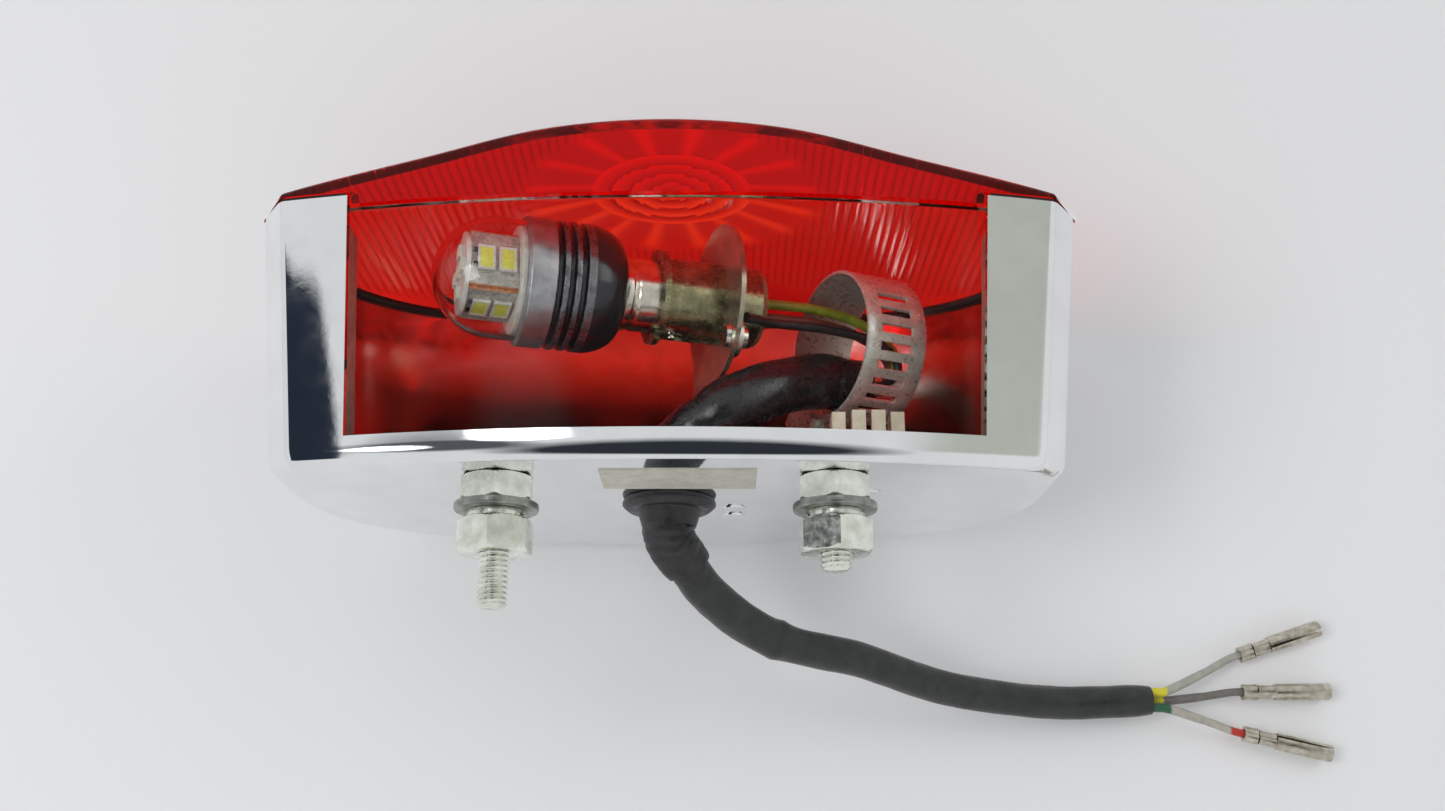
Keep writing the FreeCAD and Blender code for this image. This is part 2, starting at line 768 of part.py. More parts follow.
def bulb():
    place = lamp_placement()
    sub_part(turned("base", [
        ("base_start", "base_radius - 0.8"),
        ("base_start", "base_radius"),
        ("base_end - 0.8", "base_radius"),
        ("base_end", "base_radius - 0.9"),
        ("base_end", "base_radius - 1.6"),
        ("base_end - 1.0", "base_radius - 0.8"),
    ]), "bulb_base", place)
    pins = [cylinder(f"pin_{i}", "pin_radius", "pin_reach - base_radius - 0.02",
                     place.multiply(Placement(Vector(at, side * (size("base_radius") + 0.02), 0),
                                              Rotation(Vector(0, 0, 1), 90 * side))))
            for i, (at, side) in enumerate(((0.0, 1), (3.0, -1)))]
    group = doc.addObject("Part::Compound", "pin_pair")
    group.Links = pins
    sub_part(group, "bulb_pins")
    sub_part(turned("insulator", [
        ("base_end - 3.0", "0"),
        ("base_end - 3.0", "base_radius - 0.85"),
        ("base_end - 1.1", "base_radius - 0.85"),
        ("base_end - 0.1", "base_radius - 1.75"),
        ("base_end - 0.1", "0"),
    ]), "bulb_insulator", place)
    contacts = [turned(f"contact_{i}", [
        ("base_end - 0.08", "0"), ("base_end - 0.08", "1.6"), ("base_end + 0.5", "1.6"),
        ("base_end + 1.0", "1.0"), ("base_end + 1.0", "0")]) for i in range(2)]
    for contact, side in zip(contacts, (-1, 1)):
        offset = Vector(0, side * size("contact_spacing") / 2, 0)
        contact.Placement = place.multiply(Placement(offset, Rotation()))
    group = doc.addObject("Part::Compound", "contact_pair")
    group.Links = contacts
    sub_part(group, "bulb_contacts")
    heatsink(place)
    led_parts(place)
    sub_part(turned("dome", dome_profile()), "bulb_dome", place)


def heatsink(place):
    """The bulb's black aluminium body: a plain band, three grooves and a rounded shoulder."""
    profile = [("sink_back", "0"), ("sink_front", "0"), ("sink_front", "dome_radius - 0.4"),
               ("sink_front + 0.6", "sink_radius")]
    for i in range(3):
        start = f"sink_front + {5.6 + 2.4 * i}"
        profile += [(start, "sink_radius"), (start + " + 0.3", "sink_radius - groove_depth"),
                    (start + " + 1.1", "sink_radius - groove_depth"), (start + " + 1.4", "sink_radius")]
    for i in range(1, 6):
        share = i / 5
        along = 13.4 + (21.0 - 13.4) * math.sin(share * math.pi / 2) ** 1.1
        drop = 5.3 * (1 - math.cos(share * math.pi / 2))
        profile.append((f"sink_front + {along:.2f}", f"sink_radius - {drop:.2f}"))
    profile[-1] = ("sink_back", "sink_neck_radius")
    sub_part(turned("heatsink", profile), "bulb_heatsink", place)


def dome_profile():
    """A clear cap: a short straight wall and a round end."""
    profile = []
    steps = 8
    for radius, order in (("dome_radius", range(steps + 1)),
                          ("(dome_radius - dome_wall)", range(steps, -1, -1))):
        for i in order:
            angle = math.pi / 2 * i / steps
            along = f"dome_centre - {radius} * {math.cos(angle):.5f}"
            profile.append((along, f"{radius} * {math.sin(angle):.5f}"))
    middle = steps + 1
    profile[middle:middle] = [("sink_front - 0.02", "dome_radius"),
                              ("sink_front - 0.02", "dome_radius - dome_wall")]
    return profile


def led_parts(place):
    """A board, a four-sided tower of chips standing on it, and a board on the tower's end."""
    sub_part(turned("board", tube_profile("sink_front - 1.02", "sink_front - 0.02", "0",
                                          "dome_radius - dome_wall - 0.4")), "led_board", place)
    tower = doc.addObject("Part::Prism", "tower_prism")
    tower.Polygon = 4
    bind(tower, Circumradius="tower_across / 1.4142136", Height="sink_front - 1.04 - tower_front")
    roll = Placement(Vector(), Rotation(Vector(1, 0, 0), size("tower_turn")))
    start = Placement(Vector(size("tower_front"), 0, 0), Rotation(Vector(0, 1, 0), 90))
    tower.Placement = place.multiply(roll).multiply(start)
    sub_part(tower, "led_tower")
    sub_part(turned("front_board", tube_profile("tower_front - 0.92", "tower_front - 0.02", "0",
                                                "end_board_radius")), "led_front_board", place)
    chips = []
    flat = size("tower_across") / 2 + 0.02
    for face in range(4):
        turn = Placement(Vector(), Rotation(Vector(1, 0, 0), 90 * face + 45 + size("tower_turn")))
        for row in range(2):
            along = f"sink_front - 1.04 - 2.3 - {row} * chip_pitch - chip_width / 2"
            chips.append(box(f"chip_{face}_{row}", "chip_width", "chip_length", "chip_height",
                             (along, "-chip_length / 2", str(flat)), place.multiply(turn)))
    front = "tower_front - 0.94 - chip_height"
    for i, (y, z) in enumerate(((0, 0), (4.4, 0), (-4.4, 0), (0, 4.4), (0, -4.4))):
        chips.append(box(f"front_chip_{i}", "chip_height", "end_chip_width", "end_chip_width",
                         (front, f"{y} - end_chip_width / 2", f"{z} - end_chip_width / 2"), place))
    group = doc.addObject("Part::Compound", "chip_set")
    group.Links = chips
    sub_part(group, "led_chips")


# ---- socket -----------------------------------------------------------------------------------

def socket_shell():
    """The bayonet socket: a tube with a rolled rim and two slots that let the pins turn and sink."""
    place = lamp_placement()
    tube_body = turned("socket_tube", [
        ("socket_front", "socket_bore"),
        ("socket_back", "socket_bore"),
        ("socket_back", "socket_radius"),
        ("socket_front + 1.2", "socket_radius"),
        ("socket_front + 1.2", "socket_rim_radius"),
        ("socket_front", "socket_rim_radius"),
    ])
    tube_body.Placement = place
    slots = []
    half = math.degrees(math.asin(size("pin_radius") / size("base_radius"))) + 2
    for i, (at, side) in enumerate(((0.0, 90), (3.0, 270))):
        turn = size("twist_angle") + 2 * half
        first = side - size("twist_angle") - half
        leg = cylinder(f"leg_{i}", "socket_rim_radius + 2", "2 * pin_radius + push_travel + 0.6",
                       place.multiply(Placement(Vector(at - size("pin_radius") - 0.3, 0, 0),
                                                Rotation(Vector(1, 0, 0), first))), turn)
        entry = cylinder(f"entry_{i}", "socket_rim_radius + 2", f"{at} + 2 - socket_front",
                         place.multiply(Placement(Vector(size("socket_front") - 1, 0, 0),
                                                  Rotation(Vector(1, 0, 0), first))), 2 * half)
        slots += [leg, entry]
    core = cylinder("socket_core", "socket_bore - 0.2", "socket_back - socket_front + 4",
                    place.multiply(Placement(Vector(size("socket_front") - 2, 0, 0), Rotation())))
    slot_tool = cut("slot_sectors", joined("slot_cuts", slots), core)
    sub_part(cut("socket_slotted", tube_body, slot_tool), "socket_shell")


def socket_bracket():
    """The holder's disc with its strap, bent over against the inside of the back wall."""
    place = lamp_placement()
    disc = turned("bracket_disc", tube_profile("disc_at", "disc_at + sheet", "socket_radius + 0.03",
                                               "disc_radius"))
    disc.Placement = place
    reach = "-lamp_y - wall - 0.02"
    strap = box("bracket_strap", "sheet", reach + " - 10.0", "strap_width",
                ("disc_at", "10.0", "strap_lift - strap_width / 2"), place)
    tab = box("bracket_tab", "tab_length", "sheet", "strap_width",
              ("disc_at", reach + " - sheet", "strap_lift - strap_width / 2"), place)
    blank = joined("bracket_blank", [disc, strap, tab])
    holes = []
    for i, (x, z) in enumerate(fixing_points()[:2]):
        holes.append(cylinder(f"rivet_hole_{i}", "fixing_hole", "6",
                              Placement(Vector(x, -size("wall") - 4, z), Rotation(Vector(0, 0, 1), 90))))
    holes.append(cylinder("eyelet_hole", "fixing_hole", "4", place.multiply(
        Placement(Vector(size("disc_at") - 1, size("eyelet_across"), size("eyelet_up")), Rotation()))))
    sub_part(cut("bracket_drilled", blank, joined("bracket_holes", holes)), "socket_bracket")


def turned_set(label, name, profile, places):
    """Identical turned pieces as one node."""
    pieces = []
    for i, place in enumerate(places):
        piece = turned(f"{name}_{i}", profile)
        piece.Placement = place
        pieces.append(piece)
    if len(pieces) == 1:
        return sub_part(pieces[0], label)
    group = doc.addObject("Part::Compound", name + "_set")
    group.Links = pieces
    return sub_part(group, label)


def small_fixings():
    """Two rivets hold the bracket; screws hold the terminal block and the earth eyelet."""
    points = fixing_points()
    outside = [("0.02", "fixing_radius"), ("0.02", "2.5"), ("0.3", "2.3"), ("0.38", "1.6"), ("0.38", "0")]
    turned_set("bracket_rivets", "rivet", [
        ("-wall - sheet - 1.1", "0"), ("-wall - sheet - 1.1", "1.6"), ("-wall - sheet - 0.06", "2.7"),
        ("-wall - sheet - 0.06", "fixing_radius"),
    ] + outside, [backwards(x, 0, z) for x, z in points[:2]])
    turned_set("block_screw", "block_screw", [
        ("-wall - block_depth - 1.6", "0"), ("-wall - block_depth - 1.6", "1.7"),
        ("-wall - block_depth - 0.05", "2.2"), ("-wall - block_depth - 0.05", "fixing_radius"),
    ] + outside, [backwards(points[2][0], 0, points[2][1])])
    centre = Vector(size("disc_at"), size("eyelet_across"), size("eyelet_up"))
    at_disc = lamp_placement().multiply(Placement(centre, Rotation()))
    turned_set("earth_screw", "earth_screw", [
        ("-1.0", "0"), ("-1.0", "2.4"), ("-0.05", "2.6"), ("-0.05", "fixing_radius"),
        ("sheet + 1.05", "fixing_radius"),
        ("sheet + 1.05", "2.7"), ("sheet + 2.6", "2.3"), ("sheet + 2.6", "0"),
    ], [at_disc])
    washer = tube_profile("sheet + 0.03", "sheet + 1.0", "fixing_hole", "eyelet_radius")
    turned_set("earth_eyelet", "eyelet", washer, [at_disc])


def plunger():
    """The sprung contact disc, its two contacts, the spring behind it and the socket's cap."""
    place = lamp_placement()
    sub_part(turned("plunger", [
        ("plunger_front", "0"), ("plunger_front", "plunger_radius"),
        ("plunger_front + plunger_thickness", "plunger_radius"),
        ("plunger_front + plunger_thickness", "2.6"),
        ("plunger_front + plunger_thickness + 1.6", "2.6"),
        ("plunger_front + plunger_thickness + 1.6", "0"),
    ]), "socket_plunger", place)
    contact = [("base_end + 1.02", "0"), ("base_end + 1.02", "1.1"), ("base_end + 1.3", "1.7"),
               ("plunger_front - 0.02", "1.7"), ("plunger_front - 0.02", "0")]
    half = size("contact_spacing") / 2
    turned_set("plunger_contacts", "plunger_contact", contact,
               [place.multiply(Placement(Vector(0, side * half, 0), Rotation())) for side in (-1, 1)])
    sub_part(turned("cap", [
        ("socket_back - 1.2", "0"), ("socket_back - 1.2", "socket_bore - 0.05"),
        ("socket_back + 0.05", "socket_bore - 0.05"), ("socket_back + 0.05", "socket_radius"),
        ("socket_back + 1.2", "socket_radius - 0.6"), ("socket_back + 1.2", "0"),
    ]), "socket_cap", place)
    spring()


def spring():
    """A short coil between the plunger and the cap, drawn at the length it has when pushed in."""
    turns, steps = 2.5, 20
    wire = size("spring_wire")
    start = value_of("plunger_front + plunger_thickness + push_travel") + wire + 0.15
    length = size("socket_back") - 1.2 - wire - 0.1 - start
    points = []
    for i in range(steps + 1):
        angle = 2 * math.pi * turns * i / steps
        points.append(lamp_point(start + length * i / steps, size("spring_radius") * math.cos(angle),
                                 size("spring_radius") * math.sin(angle)))
    shaped("socket_spring", tube(points, wire))


# ---- hose clamp -------------------------------------------------------------------------------

def clamp_band():
    """The steel band, its worm slots repeated over the half that runs into the screw box."""
    body = new_body("band")
    sketch = sketch_on(body, "YZ_Plane", "band_ring")
    draw_circle(sketch, "0", "0", "band_radius")
    draw_circle(sketch, "0", "0", "band_radius - band_thickness")
    pad = body.newObject("PartDesign::Pad", "band_pad")
    pad.Profile = sketch
    pad.Midplane = True
    bind(pad, Length="band_width")
    doc.recompute()
    slot = sketch_on(body, "XY_Plane", "band_slot")
    draw_polygon(slot, [("-slot_length / 2", "-slot_width / 2"), ("slot_length / 2", "-slot_width / 2"),
                        ("slot_length / 2", "slot_width / 2"), ("-slot_length / 2", "slot_width / 2")])
    pocket = body.newObject("PartDesign::Pocket", "band_slot_cut")
    pocket.Profile = slot
    pocket.Reversed = True
    bind(pocket, Length="band_radius + 2")
    doc.recompute()
    pattern = body.newObject("PartDesign::PolarPattern", "band_slots")
    pattern.Originals = [pocket]
    axis = next(f for f in body.Origin.OriginFeatures if f.Role == "X_Axis")
    pattern.Axis = (axis, [""])
    bind(pattern, Angle="slot_spread")
    pattern.Occurrences = int(size("slot_count"))
    body.Tip = pattern
    turn = Placement(Vector(), Rotation(Vector(1, 0, 0), size("slot_turn")))
    sub_part(body, "clamp_band", clamp_placement().multiply(turn))


def clamp_worm():
    """The screw box on the band and the worm screw that runs in it."""
    turn = Rotation(Vector(1, 0, 0), size("screw_box_turn"))
    place = clamp_placement().multiply(Placement(Vector(), turn))
    outer = box("worm_box", "screw_box_width", "screw_box_length", "screw_box_height",
                ("-screw_box_width / 2", "-screw_box_length / 2", "band_radius + 0.05"), place)
    axis_height = size("band_radius") + size("screw_lift")
    along = Rotation(Vector(0, 0, 1), 90)
    start = Vector(0, -size("screw_box_length"), axis_height)
    bore = cylinder("worm_bore", "screw_radius + bore_clearance", "2 * screw_box_length",
                    place.multiply(Placement(start, along)))
    sub_part(cut("worm_housing", outer, bore), "clamp_screw_box")
    screw_place = place.multiply(Placement(Vector(0, 0, axis_height), along))
    shank = turned("worm", [
        ("-6.2", "0"), ("-6.2", "2.4"), ("-4.6", "screw_radius"), ("4.75", "screw_radius"), ("4.75", "4.4"),
        ("7.6", "4.4"), ("8.4", "3.6"), ("8.4", "0"),
    ])
    shank.Placement = screw_place
    slot = box("worm_slot", "1.6", "10", "1.0", ("7.2", "-5", "-0.5"), screw_place)
    sub_part(cut("worm_screw", shank, slot), "clamp_screw")


# ---- terminal block ---------------------------------------------------------------------------

def terminal_block():
    """A cream moulding on the back wall with four terminal towers."""
    base = box("block_base", "block_width", "block_depth", "block_height",
               ("block_x - block_width / 2", "-wall - block_depth - 0.02", "block_z - block_height / 2"))
    pieces = [base]
    for i in range(4):
        side = f"block_x + ({i} - 1.5) * tower_pitch - tower_thickness / 2"
        height, level = ("6.0", "block_z - 3.0") if i in (0, 3) else ("2.4", "block_z - 4.5")
        pieces.append(box(f"tower_{i}", "tower_thickness", "tower_height + 1", height,
                          (side, "-wall - block_depth - tower_height", level)))
    blank = joined("block_blank", pieces)
    hole = cylinder("block_hole", "fixing_hole", "block_depth + 8", Placement(
        Vector(size("block_x"), value_of("-wall - block_depth - 6"), size("block_z")),
        Rotation(Vector(0, 0, 1), 90)))
    sub_part(cut("block_bored", blank, hole), "terminal_block")


# ---- build ------------------------------------------------------------------------------------

def check():
    """Stops the build if any object failed or any sub-part isn't a valid solid shape."""
    for obj in doc.Objects:
        bad = {"Invalid", "Error"} & set(obj.State)
        if bad:
            raise RuntimeError(f"{obj.Label} failed: {sorted(bad)}")
    for obj in nodes:
        shape = obj.Shape
        if shape.isNull() or not shape.isValid() or not shape.Solids or shape.Volume <= 0:
            raise RuntimeError(f"{obj.Label} has no valid solid")


def export():
    os.makedirs("parts", exist_ok=True)
    for obj in nodes:
        obj.Shape.exportStep(f"parts/{obj.Label}.step")
    print(len(nodes), "sub-parts written")


fill_sheet()
housing()
opening_flanges()
lens()
lens_seal()
window()
label()
mounting_hardware()
grommet()
cable()
wires()
inner_wiring()
bulb()
socket_shell()
socket_bracket()
small_fixings()
plunger()
clamp_band()
clamp_worm()
terminal_block()
doc.recompute()
check()
export()
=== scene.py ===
import json
import math

import bmesh
import bpy
from mathutils import Matrix, Vector, noise


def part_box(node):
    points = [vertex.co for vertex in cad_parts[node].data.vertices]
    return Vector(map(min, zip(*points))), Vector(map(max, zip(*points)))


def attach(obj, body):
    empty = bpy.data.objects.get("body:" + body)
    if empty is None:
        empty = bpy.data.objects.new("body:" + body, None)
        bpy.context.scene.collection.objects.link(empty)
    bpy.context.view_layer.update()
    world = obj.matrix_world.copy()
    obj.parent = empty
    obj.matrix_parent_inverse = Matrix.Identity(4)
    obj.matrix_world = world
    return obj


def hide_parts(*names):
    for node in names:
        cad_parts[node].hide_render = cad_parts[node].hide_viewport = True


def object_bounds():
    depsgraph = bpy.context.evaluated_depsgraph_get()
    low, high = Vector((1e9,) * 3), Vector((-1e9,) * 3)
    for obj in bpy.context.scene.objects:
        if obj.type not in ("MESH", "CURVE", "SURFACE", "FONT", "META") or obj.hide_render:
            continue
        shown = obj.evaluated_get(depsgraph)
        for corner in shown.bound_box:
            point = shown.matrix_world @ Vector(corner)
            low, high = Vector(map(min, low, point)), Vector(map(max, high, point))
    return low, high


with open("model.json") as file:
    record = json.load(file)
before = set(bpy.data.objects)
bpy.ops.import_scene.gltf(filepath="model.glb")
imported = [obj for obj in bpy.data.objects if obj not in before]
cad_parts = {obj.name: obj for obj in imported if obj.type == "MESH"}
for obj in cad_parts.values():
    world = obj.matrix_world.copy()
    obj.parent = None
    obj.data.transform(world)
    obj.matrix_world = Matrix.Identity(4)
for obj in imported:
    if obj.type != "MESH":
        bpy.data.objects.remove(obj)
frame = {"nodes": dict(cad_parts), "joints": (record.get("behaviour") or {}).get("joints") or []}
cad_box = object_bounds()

# Motorcycle tail light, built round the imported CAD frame. The lamp is drawn in the row frame (metres,
# +Z up as mounted, -Y towards the lens) and lies on its arch: the table is the plane above its crown.

MM = 0.001


# ---- measures read from the frame ---------------------------------------------------------------

def node_box(name):
    low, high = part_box(name)
    return low / MM, high / MM


def joint(name):
    return next(j for j in frame["joints"] if j["name"] == name)


STUD_LOW, STUD_HIGH = node_box("left_stud")
STUD_RADIUS = (STUD_HIGH.z - STUD_LOW.z) / 2 * 3.0 / 6.5
STUD_X = sum(corner.x for corner in node_box("right_stud")) / 2
GROMMET_Z = sum(corner.z for corner in node_box("grommet")) / 2

# housing outline, in the shell frame: x across, y up, depth forward from the back wall
DEPTH = -node_box("housing")[0].y
FLARE = 0.1
ARCH_FLARE = 0.3
WALL = 1.2
BACK_HALF = 76.8
BACK_CREASE = 71.0
WAIST = 3.0
SHOULDER_LEVEL = 20.0
SHOULDER_RADIUS = 40.0
CROWN = 66.5
BOTTOM = -14.8
BOTTOM_RISE = 9.0
BACK_RADIUS = 4.0
LIP_DEPTH = 5.8
OPENING_BACK = 59.5
OPENING_FRONT = 62.5


def frame_at(origin, axis):
    """A frame whose local X is the axis and whose local Y is the row's Y, as near as it can be."""
    x = Vector(axis).normalized()
    y = Vector((0, 1, 0)) if abs(x.y) < 0.9 else Vector((0, 0, 1))
    z = x.cross(y).normalized()
    turn = Matrix((x, z.cross(x), z)).transposed().to_4x4()
    return Matrix.Translation(Vector(origin)) @ turn


LAMP = frame_at(Vector(joint("bulb_twist")["pos_m"]) / MM, joint("bulb_twist")["axis"])


def turned(degrees, axis):
    return Matrix.Rotation(math.radians(degrees), 4, axis)


def moved(x, y, z):
    return Matrix.Translation(Vector((x, y, z)))


# ---- mesh helpers -------------------------------------------------------------------------------

def add_row(verts, points):
    """Adds points to a list and gives their numbers."""
    start = len(verts)
    verts += points
    return list(range(start, len(verts)))


def add_ring(verts, steps, point):
    """Adds a ring of points, point(angle) each, and gives their numbers."""
    return add_row(verts, [point(2 * math.pi * k / steps) for k in range(steps)])


def polar(x, radius, angle):
    return x, radius * math.cos(angle), radius * math.sin(angle)


def quads(rings):
    """Faces between neighbouring rings of point numbers, each ring closed on itself."""
    return [(a[k], b[k], b[(k + 1) % len(a)], a[(k + 1) % len(a)])
            for a, b in zip(rings, rings[1:]) for k in range(len(a))]


def lids(rings):
    return [tuple(reversed(rings[0])), tuple(rings[-1])]


class Shape:
    """Points and faces gathered from several solids, with a material number for each face."""

    def __init__(self, mesh=None):
        self.verts, self.faces, self.indices = [], [], []
        if mesh:
            self.add(mesh)

    def add(self, mesh, index=0, place=None):
        verts, faces = mesh
        start = len(self.verts)
        self.verts += [place @ Vector(v) if place else Vector(v) for v in verts]
        self.take([tuple(start + i for i in face) for face in faces], index)
        return self

    def take(self, faces, index=0):
        self.faces += faces
        self.indices += [index] * len(faces)


def new_mesh(name, materials):
    mesh = bpy.data.meshes.new(name)
    for material in materials:
        mesh.materials.append(material)
    return mesh


def in_scene(name, mesh, node, body="housing"):
    """A mesh as a piece that rides on a body and stands for a CAD node, if one is named."""
    obj = bpy.data.objects.new(name, mesh)
    bpy.context.scene.collection.objects.link(obj)
    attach(obj, body)
    if node:
        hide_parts(node)
    return obj


def smooth_apart_from(mesh, sharp):
    mesh.shade_smooth()
    mesh.set_sharp_from_angle(angle=math.radians(sharp))


def piece(name, shape, materials, node=None, body="housing", place=None, sharp=35):
    """A piece from a shape, or from points and faces, in millimetres."""
    if not isinstance(shape, Shape):
        shape = Shape(shape)
    mesh = new_mesh(name, materials if isinstance(materials, list) else [materials])
    place = place or Matrix.Identity(4)
    mesh.from_pydata([(place @ v) * MM for v in shape.verts], [], shape.faces)
    mesh.polygons.foreach_set("material_index", shape.indices)
    mesh.validate()
    work = bmesh.new()
    work.from_mesh(mesh)
    bmesh.ops.remove_doubles(work, verts=work.verts, dist=1e-7)
    bmesh.ops.recalc_face_normals(work, faces=work.faces)
    work.to_mesh(mesh)
    work.free()
    smooth_apart_from(mesh, sharp)
    return in_scene(name, mesh, node, body)


def bevelled(obj, width, segments=2, angle=50):
    """Rounds the sharp edges of a piece."""
    mod = obj.modifiers.new("edges", "BEVEL")
    mod.width = width * MM
    mod.segments = segments
    mod.limit_method = "ANGLE"
    mod.angle_limit = math.radians(angle)
    mod.miter_outer = "MITER_ARC"


def keep_cad(name, material, bevel, sharp=30):
    """A CAD node that stays, with its own material, crisp edges and smooth curves."""
    obj = frame["nodes"][name]
    obj.data.materials.clear()
    obj.data.materials.append(material)
    smooth_apart_from(obj.data, sharp)
    if bevel:
        bevelled(obj, bevel)


def bend(a, corner, b, steps):
    """Points of a smooth bend from a to b, inside a corner."""
    return [tuple(Vector(a) * (1 - t) ** 2 + corner * 2 * t * (1 - t) + Vector(b) * t ** 2)
            for t in (k / steps for k in range(steps + 1))]


def rounded(points):
    """A polyline with its corners rounded; a point is (x, y) or (x, y, radius)."""
    out = []
    for i, (x, y, *radius) in enumerate(points):
        here = Vector((x, y))
        if not radius or radius[0] <= 0 or i in (0, len(points) - 1):
            out.append((x, y))
            continue
        before = Vector(points[i - 1][:2]) - here
        after = Vector(points[i + 1][:2]) - here
        if min(before.length, after.length) < 1e-6:
            out.append((x, y))
            continue
        reach = min(radius[0] / math.tan(before.angle(after) / 2), 0.45 * before.length, 0.45 * after.length)
        out += bend(here + before.normalized() * reach, here, here + after.normalized() * reach, 4)
    return out


def lathe(profile, steps=72, closed=False):
    """A solid turned about local X from (along, radius) points, with their corners rounded."""
    verts, rings = [], []
    for along, radius in rounded(profile)[:-1 if closed else None]:
        if radius < 1e-6:
            rings.append(add_row(verts, [(along, 0, 0)]) * steps)
        else:
            rings.append(add_ring(verts, steps, lambda a: polar(along, radius, a)))
    faces = [tuple(dict.fromkeys(face)) for face in quads(rings + rings[:1] if closed else rings)]
    return verts, [face for face in faces if len(face) > 2]


def smooth_line(points, per_span=10):
    """A Catmull-Rom line through the points."""
    pts = [Vector(p) for p in points]
    pts = [pts[0] * 2 - pts[1]] + pts + [pts[-1] * 2 - pts[-2]]
    out = []
    for p0, p1, p2, p3 in zip(pts, pts[1:], pts[2:], pts[3:]):
        for t in (k / per_span for k in range(per_span)):
            out.append(0.5 * ((2 * p1) + (p2 - p0) * t + (2 * p0 - 5 * p1 + 4 * p2 - p3) * t * t
                              + (3 * p1 - p0 - 3 * p2 + p3) * t ** 3))
    return out + [pts[-2].copy()]


def line_frames(line):
    """A frame at each point of a line, turning as little as possible."""
    frames = []
    across = None
    for i, point in enumerate(line):
        ahead = (line[min(i + 1, len(line) - 1)] - line[max(i - 1, 0)]).normalized()
        across = across or ahead.orthogonal().normalized()
        across = (across - ahead * across.dot(ahead)).normalized()
        frames.append((point, across.copy(), ahead.cross(across).normalized()))
    return frames


def sweep(line, outer, inner=None, steps=32):
    """A tube along a line. outer(s, angle) is the radius at share s; inner makes it hollow."""
    frames = line_frames(line)
    verts = []
    last = len(frames) - 1

    def ring(i, radius):
        point, u, v = frames[i]
        return add_ring(verts, steps, lambda a: point + (u * math.cos(a) + v * math.sin(a)) * radius(i / last, a))

    rings = [ring(i, outer) for i in range(last + 1)]
    if not inner:
        return verts, quads(rings) + lids(rings)
    rings += [ring(i, inner) for i in range(last, -1, -1)]
    return verts, quads(rings + rings[:1])


def bar(low, high, radius=0.0, steps=3):
    """A block with rounded edges along local X, from its low corner to its high corner."""
    (x0, y0, z0), (x1, y1, z1) = low, high
    outline = []
    for cy, cz, first in ((y1 - radius, z1 - radius, 0), (y0 + radius, z1 - radius, 90),
                          (y0 + radius, z0 + radius, 180), (y1 - radius, z0 + radius, 270)):
        for k in range(steps + 1 if radius else 1):
            a = math.radians(first + 90 * k / steps)
            outline.append((cy + radius * math.cos(a), cz + radius * math.sin(a)))
    verts = []
    rings = [add_row(verts, [(x, y, z) for y, z in outline]) for x in (x0, x1)]
    return verts, quads(rings) + lids(rings)


# ---- materials ----------------------------------------------------------------------------------

def feed(socket, value):
    """Joins a socket to another one's output, or sets its value."""
    if hasattr(value, "links"):
        socket.id_data.links.new(value, socket)
    else:
        socket.default_value = (*value, 1) if socket.type == "RGBA" else value


def settings(made, **inputs):
    """Feeds a node's inputs by name; a name that starts with _ is a property of the node."""
    for key, value in inputs.items():
        if key.startswith("_"):
            setattr(made, key[1:], value)
        else:
            feed(made.inputs[key.replace("_", " ")], value)
    return made


def node(tree, kind, **inputs):
    return settings(tree.nodes.new("ShaderNode" + kind), **inputs)


def maths(tree, kind, *values):
    step = node(tree, "Math", _operation=kind)
    for socket, value in zip(step.inputs, values):
        feed(socket, value)
    return step.outputs[0]


def axes(tree):
    """The place on a piece as its x, y and z, in metres."""
    return node(tree, "SeparateXYZ", Vector=node(tree, "TexCoord").outputs["Object"]).outputs


def noise_map(tree, scale, detail, stretch=(1, 1, 1)):
    """A noise in the piece's own millimetres; stretch draws it out along an axis."""
    place = node(tree, "Mapping", Vector=node(tree, "TexCoord").outputs["Object"], Scale=[k / MM for k in stretch])
    return node(tree, "TexNoise", Vector=place.outputs[0], Scale=scale, Detail=detail, Roughness=0.55).outputs["Fac"]


def remap(tree, value, low, high, from_low=0.35, from_high=0.65):
    return node(tree, "MapRange", Value=value, From_Min=from_low, From_Max=from_high, To_Min=low,
                To_Max=high).outputs["Result"]


def step_at(tree, value, place, soft, low=0, high=1):
    """Goes from low to high as a value passes a place, both in millimetres."""
    return remap(tree, value, low, high, (place - soft) * MM, (place + soft) * MM)


def mixed(tree, factor, a, b):
    """A colour between two colours or sockets."""
    mix = node(tree, "Mix", _data_type="RGBA")
    for index, value in ((0, factor), (6, a), (7, b)):
        feed(mix.inputs[index], value)
    return mix.outputs[2]


def bumps(tree, strength, height, scale, detail, stretch=(1, 1, 1)):
    return node(tree, "Bump", Strength=strength, Distance=height * MM,
                Height=noise_map(tree, scale, detail, stretch)).outputs["Normal"]


def new_material(name):
    material = bpy.data.materials.new(name)
    material.use_nodes = True
    return material, material.node_tree, material.node_tree.nodes["Principled BSDF"]


def show_between(tree, factor, first, second):
    """Shows the first shader where the factor is 0 and the second where it is 1."""
    mix = node(tree, "MixShader")
    for socket, value in zip(mix.inputs, (factor, first.outputs[0], second.outputs[0])):
        feed(socket, value)
    settings(tree.nodes["Material Output"], Surface=mix.outputs[0])


def surface(name, dark, light, rough, metal, grain, bump, bump_grain, stretch=(1, 1, 1), coat=0.0, specular=0.5):
    """A procedural material: patchy colour, patchy roughness and fine relief."""
    material, tree, shader = new_material(name)
    settings(shader, Base_Color=mixed(tree, remap(tree, noise_map(tree, grain, 5), 0, 1), dark, light),
             Roughness=remap(tree, noise_map(tree, grain * 2.5, 6, stretch), *rough), Metallic=metal,
             Normal=bumps(tree, 0.6, bump, bump_grain, 6, stretch), Coat_Weight=coat, Coat_Roughness=0.1,
             Specular_IOR_Level=specular)
    return material


